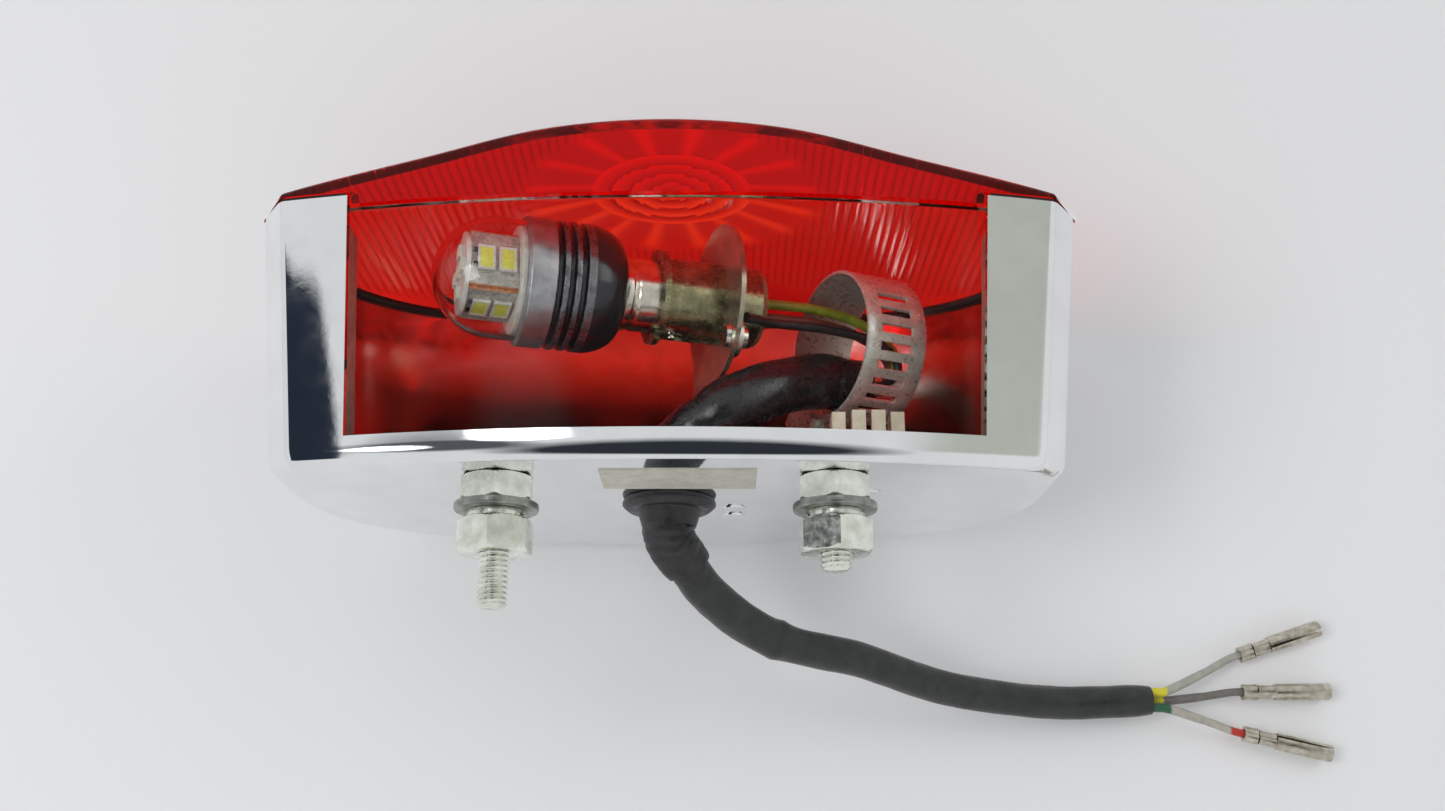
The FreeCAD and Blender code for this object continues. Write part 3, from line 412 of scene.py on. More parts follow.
def clear_plastic(name, tint, rough, shadow, bending):
    """A see-through plastic. Light from the lamps passes it, tinted, so that the inside is lit."""
    material, tree, shader = new_material(name)
    clouds = remap(tree, noise_map(tree, 0.05, 3), 0, 1)
    settings(shader, Base_Color=mixed(tree, clouds, tint, [c * 0.93 for c in tint]), IOR=bending,
             Roughness=remap(tree, noise_map(tree, 0.12, 5), *rough), Transmission_Weight=1.0,
             Normal=bumps(tree, 0.15, 0.02, 0.35, 3))
    path = node(tree, "LightPath").outputs
    passes = maths(tree, "MAXIMUM", path["Is Shadow Ray"], path["Is Diffuse Ray"])
    show_between(tree, passes, shader, node(tree, "BsdfTransparent", Color=shadow))
    return material


def recoloured(material, colour_from):
    """Changes a material's colour; colour_from(tree, colour) gives the new one."""
    tree = material.node_tree
    socket = tree.nodes["Principled BSDF"].inputs["Base Color"]
    feed(socket, colour_from(tree, socket.links[0].from_socket))
    return material


def painted_arch_shade(tree, colour):
    """Darkens the inside under the arch, in front of the back wall: painted shade, a darker colour that stands for
    the shade and dark reflection there.
    """
    _, y, z = node(tree, "SeparateXYZ", Vector=node(tree, "NewGeometry").outputs["Position"]).outputs
    back = remap(tree, y, 0, 0.9, -46 * MM, -33 * MM)
    share = maths(tree, "MULTIPLY", back, step_at(tree, z, 43, 7))
    # painted shade: the dark brown mixed in under the arch, in front of the back wall
    return mixed(tree, share, colour, (0.06, 0.032, 0.025))


CHROME = surface("chrome", (0.83, 0.84, 0.85), (0.90, 0.91, 0.92), (0.03, 0.07), 1.0, 0.08, 0.02, 0.12)
# the inner chrome carries a painted shade under the arch
CHROME_INSIDE = recoloured(surface("chrome_inside", (0.62, 0.58, 0.54), (0.74, 0.71, 0.68), (0.10, 0.20), 1.0,
                                   0.15, 0.03, 0.2), painted_arch_shade)
CAST = surface("cast_rib", (0.36, 0.33, 0.27), (0.56, 0.52, 0.43), (0.35, 0.5), 0.7, 0.5, 0.05, 2.0)
ZINC = surface("zinc", (0.66, 0.70, 0.61), (0.92, 0.94, 0.86), (0.16, 0.30), 1.0, 0.3, 0.012, 2.0)
WASHER_ZINC = surface("washer_zinc", (0.22, 0.24, 0.22), (0.42, 0.44, 0.40), (0.3, 0.45), 1.0, 0.5, 0.03, 3.0)
RUBBER = surface("rubber", (0.006, 0.006, 0.007), (0.018, 0.018, 0.019), (0.34, 0.5), 0, 0.4, 0.05, 2.5,
                 specular=0.6)
SLEEVE = surface("sleeve_plastic", (0.010, 0.011, 0.011), (0.022, 0.023, 0.023), (0.28, 0.44), 0, 0.3, 0.06, 1.6,
                 specular=0.55)
SEAL = surface("seal_rubber", (0.01, 0.01, 0.01), (0.03, 0.03, 0.03), (0.5, 0.7), 0, 0.8, 0.03, 3.0)
NICKEL = surface("nickel", (0.55, 0.50, 0.42), (0.76, 0.72, 0.64), (0.14, 0.26), 1.0, 0.3, 0.006, 2.0)
TIN = surface("tinned_brass", (0.42, 0.38, 0.30), (0.66, 0.62, 0.54), (0.25, 0.42), 1.0, 0.6, 0.04, 2.5,
              stretch=(0.4, 2, 2))
BRASS = surface("brass", (0.60, 0.42, 0.18), (0.80, 0.62, 0.32), (0.2, 0.35), 1.0, 0.6, 0.02, 3.0)
STEEL_BAND = surface("band_steel", (0.56, 0.58, 0.51), (0.74, 0.76, 0.69), (0.24, 0.38), 0.45, 0.3, 0.01, 2.0)
SPRING = surface("spring_steel", (0.4, 0.4, 0.4), (0.6, 0.6, 0.6), (0.2, 0.3), 1.0, 0.8, 0.01, 3.0)
SINK_BLACK = surface("anodised_black", (0.008, 0.008, 0.010), (0.022, 0.022, 0.026), (0.16, 0.26), 0.3, 0.3,
                     0.004, 3.0, coat=0.4)
SINK_SILVER = surface("satin_band", (0.30, 0.30, 0.31), (0.46, 0.46, 0.48), (0.3, 0.42), 0.9, 0.3, 0.005, 4.0)
SINK_GREY = surface("machined_crest", (0.14, 0.14, 0.15), (0.26, 0.26, 0.28), (0.22, 0.35), 0.9, 0.3, 0.005, 4.0)
INSULATOR = surface("black_glass", (0.01, 0.01, 0.012), (0.03, 0.03, 0.035), (0.1, 0.2), 0, 0.6, 0.02, 2.0)
PHENOLIC = surface("phenolic", (0.22, 0.11, 0.05), (0.40, 0.24, 0.12), (0.4, 0.6), 0, 1.2, 0.04, 4.0)
BOARD = surface("white_board", (0.62, 0.60, 0.56), (0.80, 0.79, 0.76), (0.25, 0.4), 0, 0.5, 0.01, 3.0, coat=0.3)
COPPER = surface("copper_edge", (0.55, 0.24, 0.10), (0.78, 0.40, 0.18), (0.25, 0.4), 1.0, 0.8, 0.02, 4.0)
PHOSPHOR = surface("phosphor", (0.74, 0.78, 0.06), (0.90, 0.94, 0.16), (0.35, 0.5), 0, 2.0, 0.02, 6.0, coat=0.5)
CHIP_CASE = surface("chip_case", (0.66, 0.65, 0.60), (0.82, 0.81, 0.77), (0.35, 0.5), 0, 1.0, 0.01, 5.0)
NYLON = surface("cream_nylon", (0.66, 0.60, 0.44), (0.80, 0.75, 0.60), (0.35, 0.5), 0, 0.4, 0.02, 2.0)
LABEL = surface("label_paper", (0.50, 0.48, 0.40), (0.60, 0.58, 0.50), (0.45, 0.6), 0, 0.35, 0.02, 5.0)
BOARD_FACE = surface("board_face", (0.40, 0.39, 0.36), (0.62, 0.61, 0.58), (0.2, 0.35), 0.2, 0.5, 0.01, 3.0,
                     coat=0.4)
SOCKET_DISC = surface("socket_disc", (0.26, 0.23, 0.16), (0.46, 0.42, 0.32), (0.14, 0.26), 0.8, 0.25, 0.01, 1.5)
SOCKET_TUBE = surface("socket_tube", (0.16, 0.15, 0.08), (0.34, 0.32, 0.18), (0.18, 0.34), 0.9, 0.3, 0.01, 2.0)
BOOT = surface("boot_rubber", (0.006, 0.006, 0.007), (0.014, 0.014, 0.016), (0.22, 0.34), 0, 0.35, 0.008, 2.0,
               specular=0.6)
LEAD_GREEN = surface("lead_green", (0.20, 0.34, 0.02), (0.36, 0.50, 0.04), (0.3, 0.45), 0, 0.5, 0.02, 3.0)
LEAD_BROWN = surface("lead_brown", (0.10, 0.04, 0.02), (0.18, 0.08, 0.04), (0.3, 0.45), 0, 0.5, 0.02, 3.0)
LEAD_BLACK = surface("lead_black", (0.01, 0.01, 0.01), (0.03, 0.03, 0.03), (0.3, 0.45), 0, 0.5, 0.02, 3.0)
RED = (0.88, 0.012, 0.006)
RED_LIGHT = (0.92, 0.05, 0.02)
RED_PLASTIC = clear_plastic("red_lens", RED, (0.03, 0.09), RED_LIGHT, 1.25)
CLEAR = clear_plastic("clear_window", (0.98, 0.985, 0.985), (0.0, 0.02), (0.95, 0.95, 0.95), 1.10)
DOME_CLEAR = clear_plastic("clear_dome", (0.96, 0.97, 0.96), (0.01, 0.04), (0.92, 0.92, 0.9), 1.35)

# the lens's moulded optics: a bullseye of rings, rays round it, upright flutes outside
EYE_LEVEL = 15.0
EYE_RADIUS = 17.0
EYE_ZONES = 4
RAY_RADIUS = 33.0
RAYS = 16
FLUTE_PITCH = 1.8


def lens_optics():
    """The lens's inside: the same red, with painted shade along flutes and zone edges, and a painted highlight and a
    faint painted glow on the prisms.
    """
    material = clear_plastic("red_optics", RED, (0.04, 0.10), RED_LIGHT, 1.35)
    tree = material.node_tree
    across, _, upward = axes(tree)

    def calc(*step):
        return maths(tree, *step)

    x = calc("DIVIDE", across, MM)
    up = calc("SUBTRACT", calc("DIVIDE", upward, MM), EYE_LEVEL)
    reach = calc("SQRT", calc("ADD", calc("MULTIPLY", x, x), calc("MULTIPLY", up, up)))
    zone = calc("FRACT", calc("MULTIPLY", reach, EYE_ZONES / EYE_RADIUS))
    ray = calc("FRACT", calc("MULTIPLY", calc("ARCTAN2", up, x), RAYS / (2 * math.pi)))
    flute = calc("PINGPONG", x, FLUTE_PITCH / 2)
    in_eye = remap(tree, reach, 1, 0, EYE_RADIUS - 0.3, EYE_RADIUS + 0.3)
    in_rays = calc("SUBTRACT", remap(tree, reach, 1, 0, RAY_RADIUS - 4, RAY_RADIUS), in_eye)
    outside = calc("SUBTRACT", 1.0, calc("ADD", in_eye, in_rays))
    # painted highlight: the prisms' mask, a lighter red that also drives a faint glow
    prism_glint = calc("ADD", calc("MULTIPLY", in_eye, remap(tree, zone, 0, 1, 0.15, 0.9)),
                 calc("MULTIPLY", in_rays, remap(tree, calc("PINGPONG", ray, 0.5), 0, 0.8, 0.25, 0.45)))
    # painted shade: the grooves' mask, a deeper red along flutes and zone edges
    groove = calc("ADD", calc("MULTIPLY", in_eye, remap(tree, zone, 1, 0, 0.08, 0.22)),
                  calc("MULTIPLY", outside, remap(tree, flute, 1, 0, 0.05, 0.45)))
    colour = mixed(tree, prism_glint, (0.80, 0.012, 0.006), (1.0, 0.06, 0.01))
    colour = mixed(tree, calc("MULTIPLY", groove, 0.75), colour, (0.30, 0.003, 0.002))
    # painted glow: the prisms emit light though the lens is no lamp
    settings(tree.nodes["Principled BSDF"], Base_Color=colour, Emission_Color=colour,
             Emission_Strength=remap(tree, prism_glint, 0.02, 0.22, 0, 1))
    return material


# the lens's inside, with painted highlights, painted shade and a painted glow
RED_OPTICS = lens_optics()


def wire_skin(name, base, near_tint, near_x, far_tint=None, far_x=0.0):
    """Insulation that changes colour along X: a coloured core near the sleeve, grey further on."""
    def banded(tree, colour):
        x = axes(tree)[0]
        colour = mixed(tree, step_at(tree, x, near_x, 0.3, 1, 0), colour, near_tint)
        return mixed(tree, step_at(tree, x, far_x, 0.3), colour, far_tint) if far_tint else colour

    return recoloured(surface(name, base, [min(1, c * 1.3) for c in base], (0.35, 0.5), 0, 0.6, 0.03, 3.0), banded)


# ---- housing ------------------------------------------------------------------------------------

class Outline:
    """The housing's outline at one depth, moved inwards by inset, drawn in further on the arch."""

    def __init__(self, depth, inset=0.0, rounding=0.0):
        grow = FLARE * depth
        self.half = BACK_HALF + grow - inset - rounding
        self.crease = BACK_CREASE + grow - inset - 0.5 * rounding
        self.low = BOTTOM + inset + 0.3 * rounding
        self.corner = self.low + BOTTOM_RISE
        self.crown = CROWN - inset + ARCH_FLARE * grow - rounding
        self.radius = SHOULDER_RADIUS - inset - rounding + 0.5 * grow
        self.reach = self.half - self.radius
        rise = self.crown - SHOULDER_LEVEL
        drop = (self.reach ** 2 - (rise - self.radius) ** 2) / (2 * (rise - self.radius))
        self.crown_centre = SHOULDER_LEVEL - drop
        self.crown_radius = rise + drop
        self.join_angle = math.atan2(drop, self.reach)
        self.join = self.reach + self.radius * math.cos(self.join_angle)
        self.bottom_radius = (self.crease ** 2 + BOTTOM_RISE ** 2) / (2 * BOTTOM_RISE)

    def bottom(self, x):
        """The underside's height at x, within the creases."""
        return self.low + self.bottom_radius - math.sqrt(max(self.bottom_radius ** 2 - x * x, 0.0))

    def top(self, share):
        """A point of the arch, from the right side's top (0) over the crown (0.5) to the left (1)."""
        s = min(share, 1 - share) * 2
        shoulder = 0.55
        if s < shoulder:
            a = self.join_angle * (s / shoulder)
            x = self.reach + self.radius * math.cos(a)
            y = SHOULDER_LEVEL + self.radius * math.sin(a)
        else:
            first = math.atan2(self.join, SHOULDER_LEVEL + self.radius * math.sin(self.join_angle)
                               - self.crown_centre)
            a = first * (1 - (s - shoulder) / (1 - shoulder))
            x = self.crown_radius * math.sin(a)
            y = self.crown_centre + self.crown_radius * math.cos(a)
        return (-x if share > 0.5 else x), y


BOTTOM_STEPS = 48
STRIP_STEPS = 10
SIDE_STEPS = 6
ARCH_STEPS = 120
BACK_BANDS = 8
SIDE_BANDS = 12
CORNER_SOFT = 1.2
WAIST_SOFT = 2.0


def outline_loop(depth, rounding):
    """The outline as a loop of points: the opening's span, the right strip, side, arch, left."""
    o = Outline(depth, 0.0, rounding)
    x_open = opening_half(depth)
    edge = o.crease - CORNER_SOFT
    xs = [x_open * (2 * k / BOTTOM_STEPS - 1) for k in range(BOTTOM_STEPS)]
    xs += [x_open + (edge - x_open) * k / STRIP_STEPS for k in range(STRIP_STEPS)]
    points = [(x, o.bottom(x)) for x in xs]
    crease, waist = Vector((o.crease, o.corner)), Vector((o.half, WAIST))
    rise = (waist - crease).normalized()
    end, before, after = crease + rise * CORNER_SOFT, waist - rise * WAIST_SOFT, waist + Vector((0, WAIST_SOFT))
    points += bend((edge, o.bottom(edge)), crease, end, 3)
    points += [tuple(end.lerp(before, k / 3)) for k in (1, 2)]
    points += bend(before, waist, after, 3)
    points += [(o.half, after.y + (SHOULDER_LEVEL - after.y) * k / SIDE_STEPS) for k in range(1, SIDE_STEPS)]
    left = [(-x, y) for x, y in reversed(points[BOTTOM_STEPS + 1:])]
    return points + [o.top(k / ARCH_STEPS) for k in range(ARCH_STEPS + 1)] + left


def opening_half(depth):
    return OPENING_BACK + (OPENING_FRONT - OPENING_BACK) * depth / DEPTH


def shell_point(x, y, depth):
    """From the shell frame to the row frame."""
    return Vector((x, -depth, y))


def flat_cap(work, loop, holes):
    """Fills the back wall inside a loop of bmesh vertices, leaving the round holes open."""
    loops = [loop]
    for x, y, radius in holes:
        turns = [2 * math.pi * k / 40 for k in range(40)]
        loops.append([work.verts.new(shell_point(x + radius * math.cos(a), y + radius * math.sin(a), 0.0))
                      for a in turns])
    edges = [work.edges.get(pair) or work.edges.new(pair)
             for verts in loops for pair in zip(verts, verts[1:] + verts[:1])]
    bmesh.ops.triangle_fill(work, use_beauty=True, use_dissolve=False, edges=edges, normal=(0, 1, 0))


def housing():
    """The chromed pressing: one curved sheet with a rounded back edge, thickened inwards."""
    turns = [math.pi / 2 * k / BACK_BANDS for k in range(BACK_BANDS + 1)]
    sections = [(BACK_RADIUS * (1 - math.cos(a)), BACK_RADIUS * (1 - math.sin(a))) for a in turns]
    lip = len(sections)
    sections += [(LIP_DEPTH + (DEPTH - LIP_DEPTH) * k / SIDE_BANDS, 0.0) for k in range(SIDE_BANDS + 1)]
    work = bmesh.new()
    rows = [[work.verts.new(shell_point(x, y, depth)) for x, y in outline_loop(depth, rounding)]
            for depth, rounding in sections]
    for i, (a, b) in enumerate(zip(rows, rows[1:])):
        for k in range(BOTTOM_STEPS if i >= lip else 0, len(a)):
            n = (k + 1) % len(a)
            work.faces.new((a[k], a[n], b[n], b[k]))
    holes = [(side * STUD_X, 0.0, STUD_RADIUS + 0.3) for side in (-1, 1)] + [(0.0, GROMMET_Z, 6.6)]
    flat_cap(work, rows[0], holes)
    bmesh.ops.delete(work, geom=[v for v in work.verts if not v.link_faces], context="VERTS")
    bmesh.ops.recalc_face_normals(work, faces=work.faces)
    if sum(f.normal.y * f.calc_area() for f in work.faces if abs(f.normal.y) > 0.99) < 0:
        bmesh.ops.reverse_faces(work, faces=work.faces)
    for vert in work.verts:
        vert.co *= MM
    mesh = new_mesh("housing_shell", [CHROME, CHROME_INSIDE])
    work.to_mesh(mesh)
    work.free()
    mesh.shade_smooth()
    obj = in_scene("housing_shell", mesh, "housing")
    solid = obj.modifiers.new("wall", "SOLIDIFY")
    solid.thickness = WALL * MM
    solid.offset = -1
    solid.use_even_offset = True
    solid.use_quality_normals = True
    solid.material_offset = 1
    solid.material_offset_rim = 0
    bevelled(obj, 0.35, 3, 60)
    normals = obj.modifiers.new("flat_faces", "WEIGHTED_NORMAL")
    normals.weight = 60
    normals.keep_sharp = True


# ---- lens and window ----------------------------------------------------------------------------

LENS_WALL = 2.0
LENS_RIM = DEPTH + 0.82
LENS_APEX = -node_box("lens")[0].y
LENS_LINE = ((0.0, 0.0), (23.5, 1.56), (47.0, 6.5), (66.0, 9.9), (85.25, 13.2))
SKIRT_START = 52.6
EDGE_SOFT = 1.6
EDGE_BANDS = 5
WALL_STEPS = 6
COLUMNS = 420
ROWS = 40
EYE_DEPTH = 0.75
RAY_DEPTH = 0.45
FLUTE_DEPTH = 0.5
WINDOW_WALL = 1.8


def lens_front(x):
    """The lens's front depth at x: a smooth bulge that is flattest in the middle."""
    x = abs(x)
    points = ((-LENS_LINE[1][0], LENS_LINE[1][1]),) + LENS_LINE
    first = sum(x > px for px, _ in LENS_LINE[1:3])
    (x0, d0), (x1, d1), (x2, d2), (x3, d3) = points[first:first + 4]
    t = (x - x1) / (x2 - x1)
    m1 = (d2 - d0) / (x2 - x0) * (x2 - x1)
    m2 = (d3 - d1) / (x3 - x1) * (x2 - x1)
    drop = ((2 * t ** 3 - 3 * t ** 2 + 1) * d1 + (t ** 3 - 2 * t ** 2 + t) * m1
            + (3 * t ** 2 - 2 * t ** 3) * d2 + (t ** 3 - t ** 2) * m2)
    return LENS_APEX - drop


def optics(x, y):
    """The relief inside the lens: a round bullseye, rays round it, and upright flutes outside."""
    r = math.hypot(x, y - EYE_LEVEL)
    if r < EYE_RADIUS:
        return EYE_DEPTH * (1 - r / EYE_RADIUS * EYE_ZONES % 1.0)
    if r < RAY_RADIUS and abs(x) < 34:
        a = math.atan2(y - EYE_LEVEL, x)
        return RAY_DEPTH * min(1.0, (r - EYE_RADIUS) / 3.0) * (0.5 + 0.5 * math.cos(a * RAYS))
    if abs(x) > 34:
        return FLUTE_DEPTH * abs(math.sin(math.pi * x / FLUTE_PITCH))
    return FLUTE_DEPTH * 0.6 * abs(math.sin(math.pi * y / 3.2))


def column_grid(depth_of, inset, relief=None):
    """A sheet of columns that fills the outline at a given inset; depth_of(x) is its depth."""
    half = Outline(LENS_RIM + 2, inset).half
    grid = []
    for k in range(COLUMNS + 1):
        x = (half * math.sin(math.pi * (k / COLUMNS - 0.5)) * 0.35 + half * (2 * k / COLUMNS - 1) * 0.65)
        o = Outline(depth_of(x), inset)
        px = max(-1.0, min(1.0, x / half)) * o.half
        if abs(px) < o.crease:
            low = o.bottom(px)
        else:
            low = o.corner + (WAIST - o.corner) * (abs(px) - o.crease) / (o.half - o.crease)
        if abs(px) < o.join:
            high = o.crown_centre + math.sqrt(o.crown_radius ** 2 - px * px)
        else:
            high = SHOULDER_LEVEL + math.sqrt(max(o.radius ** 2 - (abs(px) - o.reach) ** 2, 0.0))
        ys = [low + (high - low) * j / ROWS for j in range(ROWS + 1)]
        grid.append([(px, y, depth_of(px) - (relief(px, y) if relief and 0 < j < ROWS else 0))
                     for j, y in enumerate(ys)])
    return grid


def rim_places(grid):
    """The grid's outer places in order: along the bottom, up the right, back along the top, down."""
    columns, rows = len(grid) - 1, len(grid[0]) - 1
    return ([(i, 0) for i in range(columns + 1)] + [(columns, j) for j in range(1, rows + 1)]
            + [(i, rows) for i in range(columns - 1, -1, -1)] + [(0, j) for j in range(rows - 1, 0, -1)])


def add_grid(shape, grid, index=0):
    """Adds a sheet to a shape and gives the point numbers round its rim."""
    rows = len(grid[0])
    start = add_row(shape.verts, [shell_point(*p) for column in grid for p in column])[0]

    def at(i, j):
        return start + i * rows + j

    shape.take([(at(i, j), at(i + 1, j), at(i + 1, j + 1), at(i, j + 1))
                for i in range(len(grid) - 1) for j in range(rows - 1)], index)
    return [at(i, j) for i, j in rim_places(grid)]


def lens_back(p):
    """Where the lens's wall ends: at the housing's rim, or further back over the window."""
    inside = abs(p.x) < OPENING_FRONT - 1.6 and p.y < WAIST
    return SKIRT_START if inside else LENS_RIM


def lens():
    """The red lens: smooth outside, rounded at its front edge, with moulded optics inside."""
    shape = Shape()
    front = column_grid(lens_front, EDGE_SOFT)
    rim = rim_places(front)
    flat = [Vector(front[i][j]) for i, j in rim]

    def edge_ring(inset, backs):
        """The lens's edge with its outline moved in by inset, moved back with the wall's flare."""
        grid = column_grid(lens_front, inset)
        ring = []
        for (i, j), start, back in zip(rim, flat, backs):
            o = Outline(start.z, inset)
            x, y, _ = grid[i][j]
            narrower = FLARE * back
            ring.append(shell_point(x - narrower * x / o.half,
                                    y - ARCH_FLARE * narrower * max(y, 0.0) / o.crown, start.z - back))
        return add_row(shape.verts, ring)

    rings = [add_grid(shape, front)]
    for k in range(1, EDGE_BANDS + 1):
        a = math.pi / 2 * k / EDGE_BANDS
        rings.append(edge_ring(EDGE_SOFT * (1 - math.sin(a)), [EDGE_SOFT * (1 - math.cos(a))] * len(flat)))
    for k in range(1, WALL_STEPS + 1):
        rings.append(edge_ring(0.0, [EDGE_SOFT + (p.z - EDGE_SOFT - lens_back(p)) * k / WALL_STEPS for p in flat]))
    inner = column_grid(lambda x: lens_front(x) - LENS_WALL, LENS_WALL, optics)
    edge = [Vector(inner[i][j]) for i, j in rim]
    inner_rings = [add_grid(shape, inner, 1)]
    for k in range(1, WALL_STEPS + 1):
        backs = [(p.z - lens_back(q)) * k / WALL_STEPS for p, q in zip(edge, flat)]
        inner_rings.append(add_row(shape.verts, [shell_point(p.x * (1 - FLARE * back / 80), p.y, p.z - back)
                                                 for p, back in zip(edge, backs)]))
    shape.take(quads(rings + inner_rings[::-1]))
    piece("lens_shell", shape, [RED_PLASTIC, RED_OPTICS], "lens", sharp=28)


def window():
    """The clear number-plate window, bowed like the underside."""
    start, end = LIP_DEPTH - 2.0, SKIRT_START - 0.1
    across, along = 60, 14
    shape, sheets = Shape(), []
    for inset in (WALL + 0.02, WALL + 0.02 + WINDOW_WALL):
        rows = []
        for j in range(along + 1):
            depth = start + (end - start) * j / along
            o = Outline(depth, inset)
            half = opening_half(depth) + 0.95
            rows.append([(x, o.bottom(x), depth) for x in (half * (2 * i / across - 1) for i in range(across + 1))])
        sheets.append(add_grid(shape, list(zip(*rows))))
    shape.take(quads(sheets))
    bevelled(piece("window_pane", shape, CLEAR, "window"), 0.25, 2, 60)


# ---- studs, washers and nuts --------------------------------------------------------------------

PITCH = 1.0
THREAD_DEPTH = 0.48
NUT_FLATS = 13.0
NUT_STEPS = 60


def threaded_rod(start, end, radius, lead=1.2, steps=40, per_turn=10):
    """A rod along local X whose thread is cut into its surface, with a chamfered end."""
    verts, rings = [], []
    rows = int((end - start) / PITCH * per_turn)
    for i in range(rows + 1):
        x = start + (end - start) * i / rows
        fade = max(0.0, min(1.0, (x - start - lead) / 1.2))
        chamfer = max(0.0, 0.75 - (end - x)) * 1.1

        def point(a):
            phase = (x / PITCH - a / (2 * math.pi)) % 1.0
            groove = THREAD_DEPTH * (1 - abs(2 * phase - 1)) ** 0.9 * fade
            return polar(x, radius - max(groove, chamfer), a)

        rings.append(add_ring(verts, steps, point))
    return verts, quads(rings) + lids(rings)


def hex_nut(height, bore):
    """A hexagon nut along local X: chamfered corners, a countersunk bore and a thread inside."""
    half = NUT_FLATS / 2
    verts, rings = [], []

    def ring(x, radius_at):
        rings.append(add_ring(verts, NUT_STEPS, lambda a: polar(x, radius_at(a), a)))

    def hexagon(a):
        return half / math.cos((a % (math.pi / 3)) - math.pi / 6)

    def capped(level):
        """The hexagon cut by the chamfer's cone, at a distance from the nearer face."""
        return lambda a: min(hexagon(a), half * 0.985 + level * 1.9)

    def circle(radius):
        return lambda a: radius

    slope = (NUT_FLATS / math.sqrt(3) - half) / 1.9 + 0.05
    levels = [slope * k / 5 for k in range(6)]
    ring(0.0, circle(half * 0.955))
    for level in levels:
        ring(0.02 + level, capped(level))
    ring(height * 0.5, hexagon)
    for level in reversed(levels):
        ring(height - 0.02 - level, capped(level))
    ring(height, circle(half * 0.955))
    ring(height, circle(bore + 0.5))
    ring(height - 0.5, circle(bore))
    threads = int((height - 1.4) / PITCH)
    for k in range(threads, 0, -1):
        middle = height / 2 + (k - (threads + 1) / 2) * PITCH
        ring(middle + 0.25, circle(bore + 0.35))
        ring(middle - 0.25, circle(bore))
    ring(0.5, circle(bore))
    ring(0.0, circle(bore + 0.5))
    return verts, quads(rings + rings[:1])


def split_ring(inner, outer, thickness, gap=14.0, steps=60):
    """A spring washer: a square-section ring with a slanted gap."""
    soft = 0.18
    section = rounded([(0, inner), (0, outer, soft), (thickness, outer, soft), (thickness, inner, soft),
                       (0, inner)])[:-1]
    verts, rings = [], []
    for k in range(steps + 1):
        a = math.radians(gap / 2 + (360 - gap) * k / steps)
        rings.append(add_row(verts, [polar(x, r, a + math.radians(4.0) * (x / thickness - 0.5))
                                     for x, r in section]))
    return verts, quads(rings) + lids(rings)


def flat_washer(inner, outer, thickness):
    middle = (inner + outer) / 2
    return lathe([(0, middle), (0, outer, 0.3), (thickness, outer, 0.45), (thickness, inner, 0.15),
                  (0, inner, 0.15), (0, middle)], 64, closed=True)


def on_stud(side, start, turn=0.0):
    """Local X runs out of the back wall along a stud; turn spins the piece about it."""
    return moved(side * STUD_X, start, 0) @ turned(90, "Z") @ turned(turn, "X")


def hardware():
    """Both studs with their jam nuts, flat washers, spring washers and nuts."""
    jam = Shape()
    bore = STUD_RADIUS + 0.04
    jam_low, jam_high = node_box("jam_nuts")
    for side, name in ((-1, "left"), (1, "right")):
        low, high = node_box(name + "_stud")
        seat = -WALL - 0.04
        shank = Shape(threaded_rod(-WALL - 0.1, high.y, STUD_RADIUS))
        shank.add(lathe([(low.y, 0), (low.y, 6.5, 0.5), (seat, 6.5, 0.15), (seat, 0)], 48))
        piece(name + "_stud_threaded", shank, ZINC, name + "_stud", "housing", on_stud(side, 0), 50)
        jam.add(hex_nut(jam_high.y - jam_low.y, bore), 0, on_stud(side, jam_low.y, 30 + 4 * side))
        low, high = node_box(name + "_washer")
        piece(name + "_flat_washer", flat_washer(STUD_RADIUS + 0.05, 8.0, high.y - low.y), WASHER_ZINC,
              name + "_washer", name + "_washers", on_stud(side, low.y))
        low, high = node_box(name + "_lock_washer")
        piece(name + "_spring_washer", split_ring(STUD_RADIUS + 0.25, 5.6, high.y - low.y), ZINC,
              name + "_lock_washer", name + "_washers", on_stud(side, low.y, 95))
        low, high = node_box(name + "_nut")
        piece(name + "_hex_nut", hex_nut(high.y - low.y, bore), ZINC, name + "_nut", name + "_nut",
              on_stud(side, low.y, 30 - 3 * side))
    piece("jam_nut_pair", jam, ZINC, "jam_nuts")


# ---- cable --------------------------------------------------------------------------------------

SLEEVE_RADIUS = 4.2
COLLAR_STEPS = 40
BULLET_RADIUS = 1.88
CABLE_REST = node_box("cable_sleeve")[1].z - SLEEVE_RADIUS


def sleeve_line():
    """The black sleeve's middle line, from the grommet down to the table and along it."""
    level, rest = GROMMET_Z, CABLE_REST
    return smooth_line([(0, -4.5, level), (0, 2.0, level), (0.2, 7.0, level + 0.3), (3.0, 12.0, level + 2.8),
                        (9.5, 19.0, level + 9.5), (22.0, 25.6, level + 18.5), (40.0, 28.6, level + 27.0),
                        (60.0, 33.6, rest - 7.0), (83.0, 36.0, rest - 1.6), (106.0, 35.4, rest)], 16)


def wrinkle(share, angle, amount, scale=9.0):
    """A small, smooth unevenness round a soft tube."""
    return amount * noise.noise(Vector((share * scale * 4, math.cos(angle) * 1.4, math.sin(angle) * 1.4)))


def collar(line):
    """The torn inner sleeve that stands out of the grommet: a tube whose end is cut unevenly."""
    verts, faces = sweep(line, lambda s, a: 5.45 - 0.55 * s + 0.25 * math.sin(3 * a + 5 * s)
                         + wrinkle(s, a, 0.35, 3), lambda s, a: 4.3, COLLAR_STEPS)
    rows = len(line)
    for ring in range(rows * 2):
        i = ring if ring < rows else 2 * rows - 1 - ring
        for k in range(COLLAR_STEPS):
            angle = 2 * math.pi * k / COLLAR_STEPS
            cut = 0.11 * (1 + math.sin(2 * angle + 0.6)) + 0.05 * (1 + math.sin(5 * angle))
            place = i * (1.0 - cut)
            j = min(int(place), rows - 2)
            verts[ring * COLLAR_STEPS + k] += line[j].lerp(line[j + 1], place - j) - line[i]
    return verts, faces


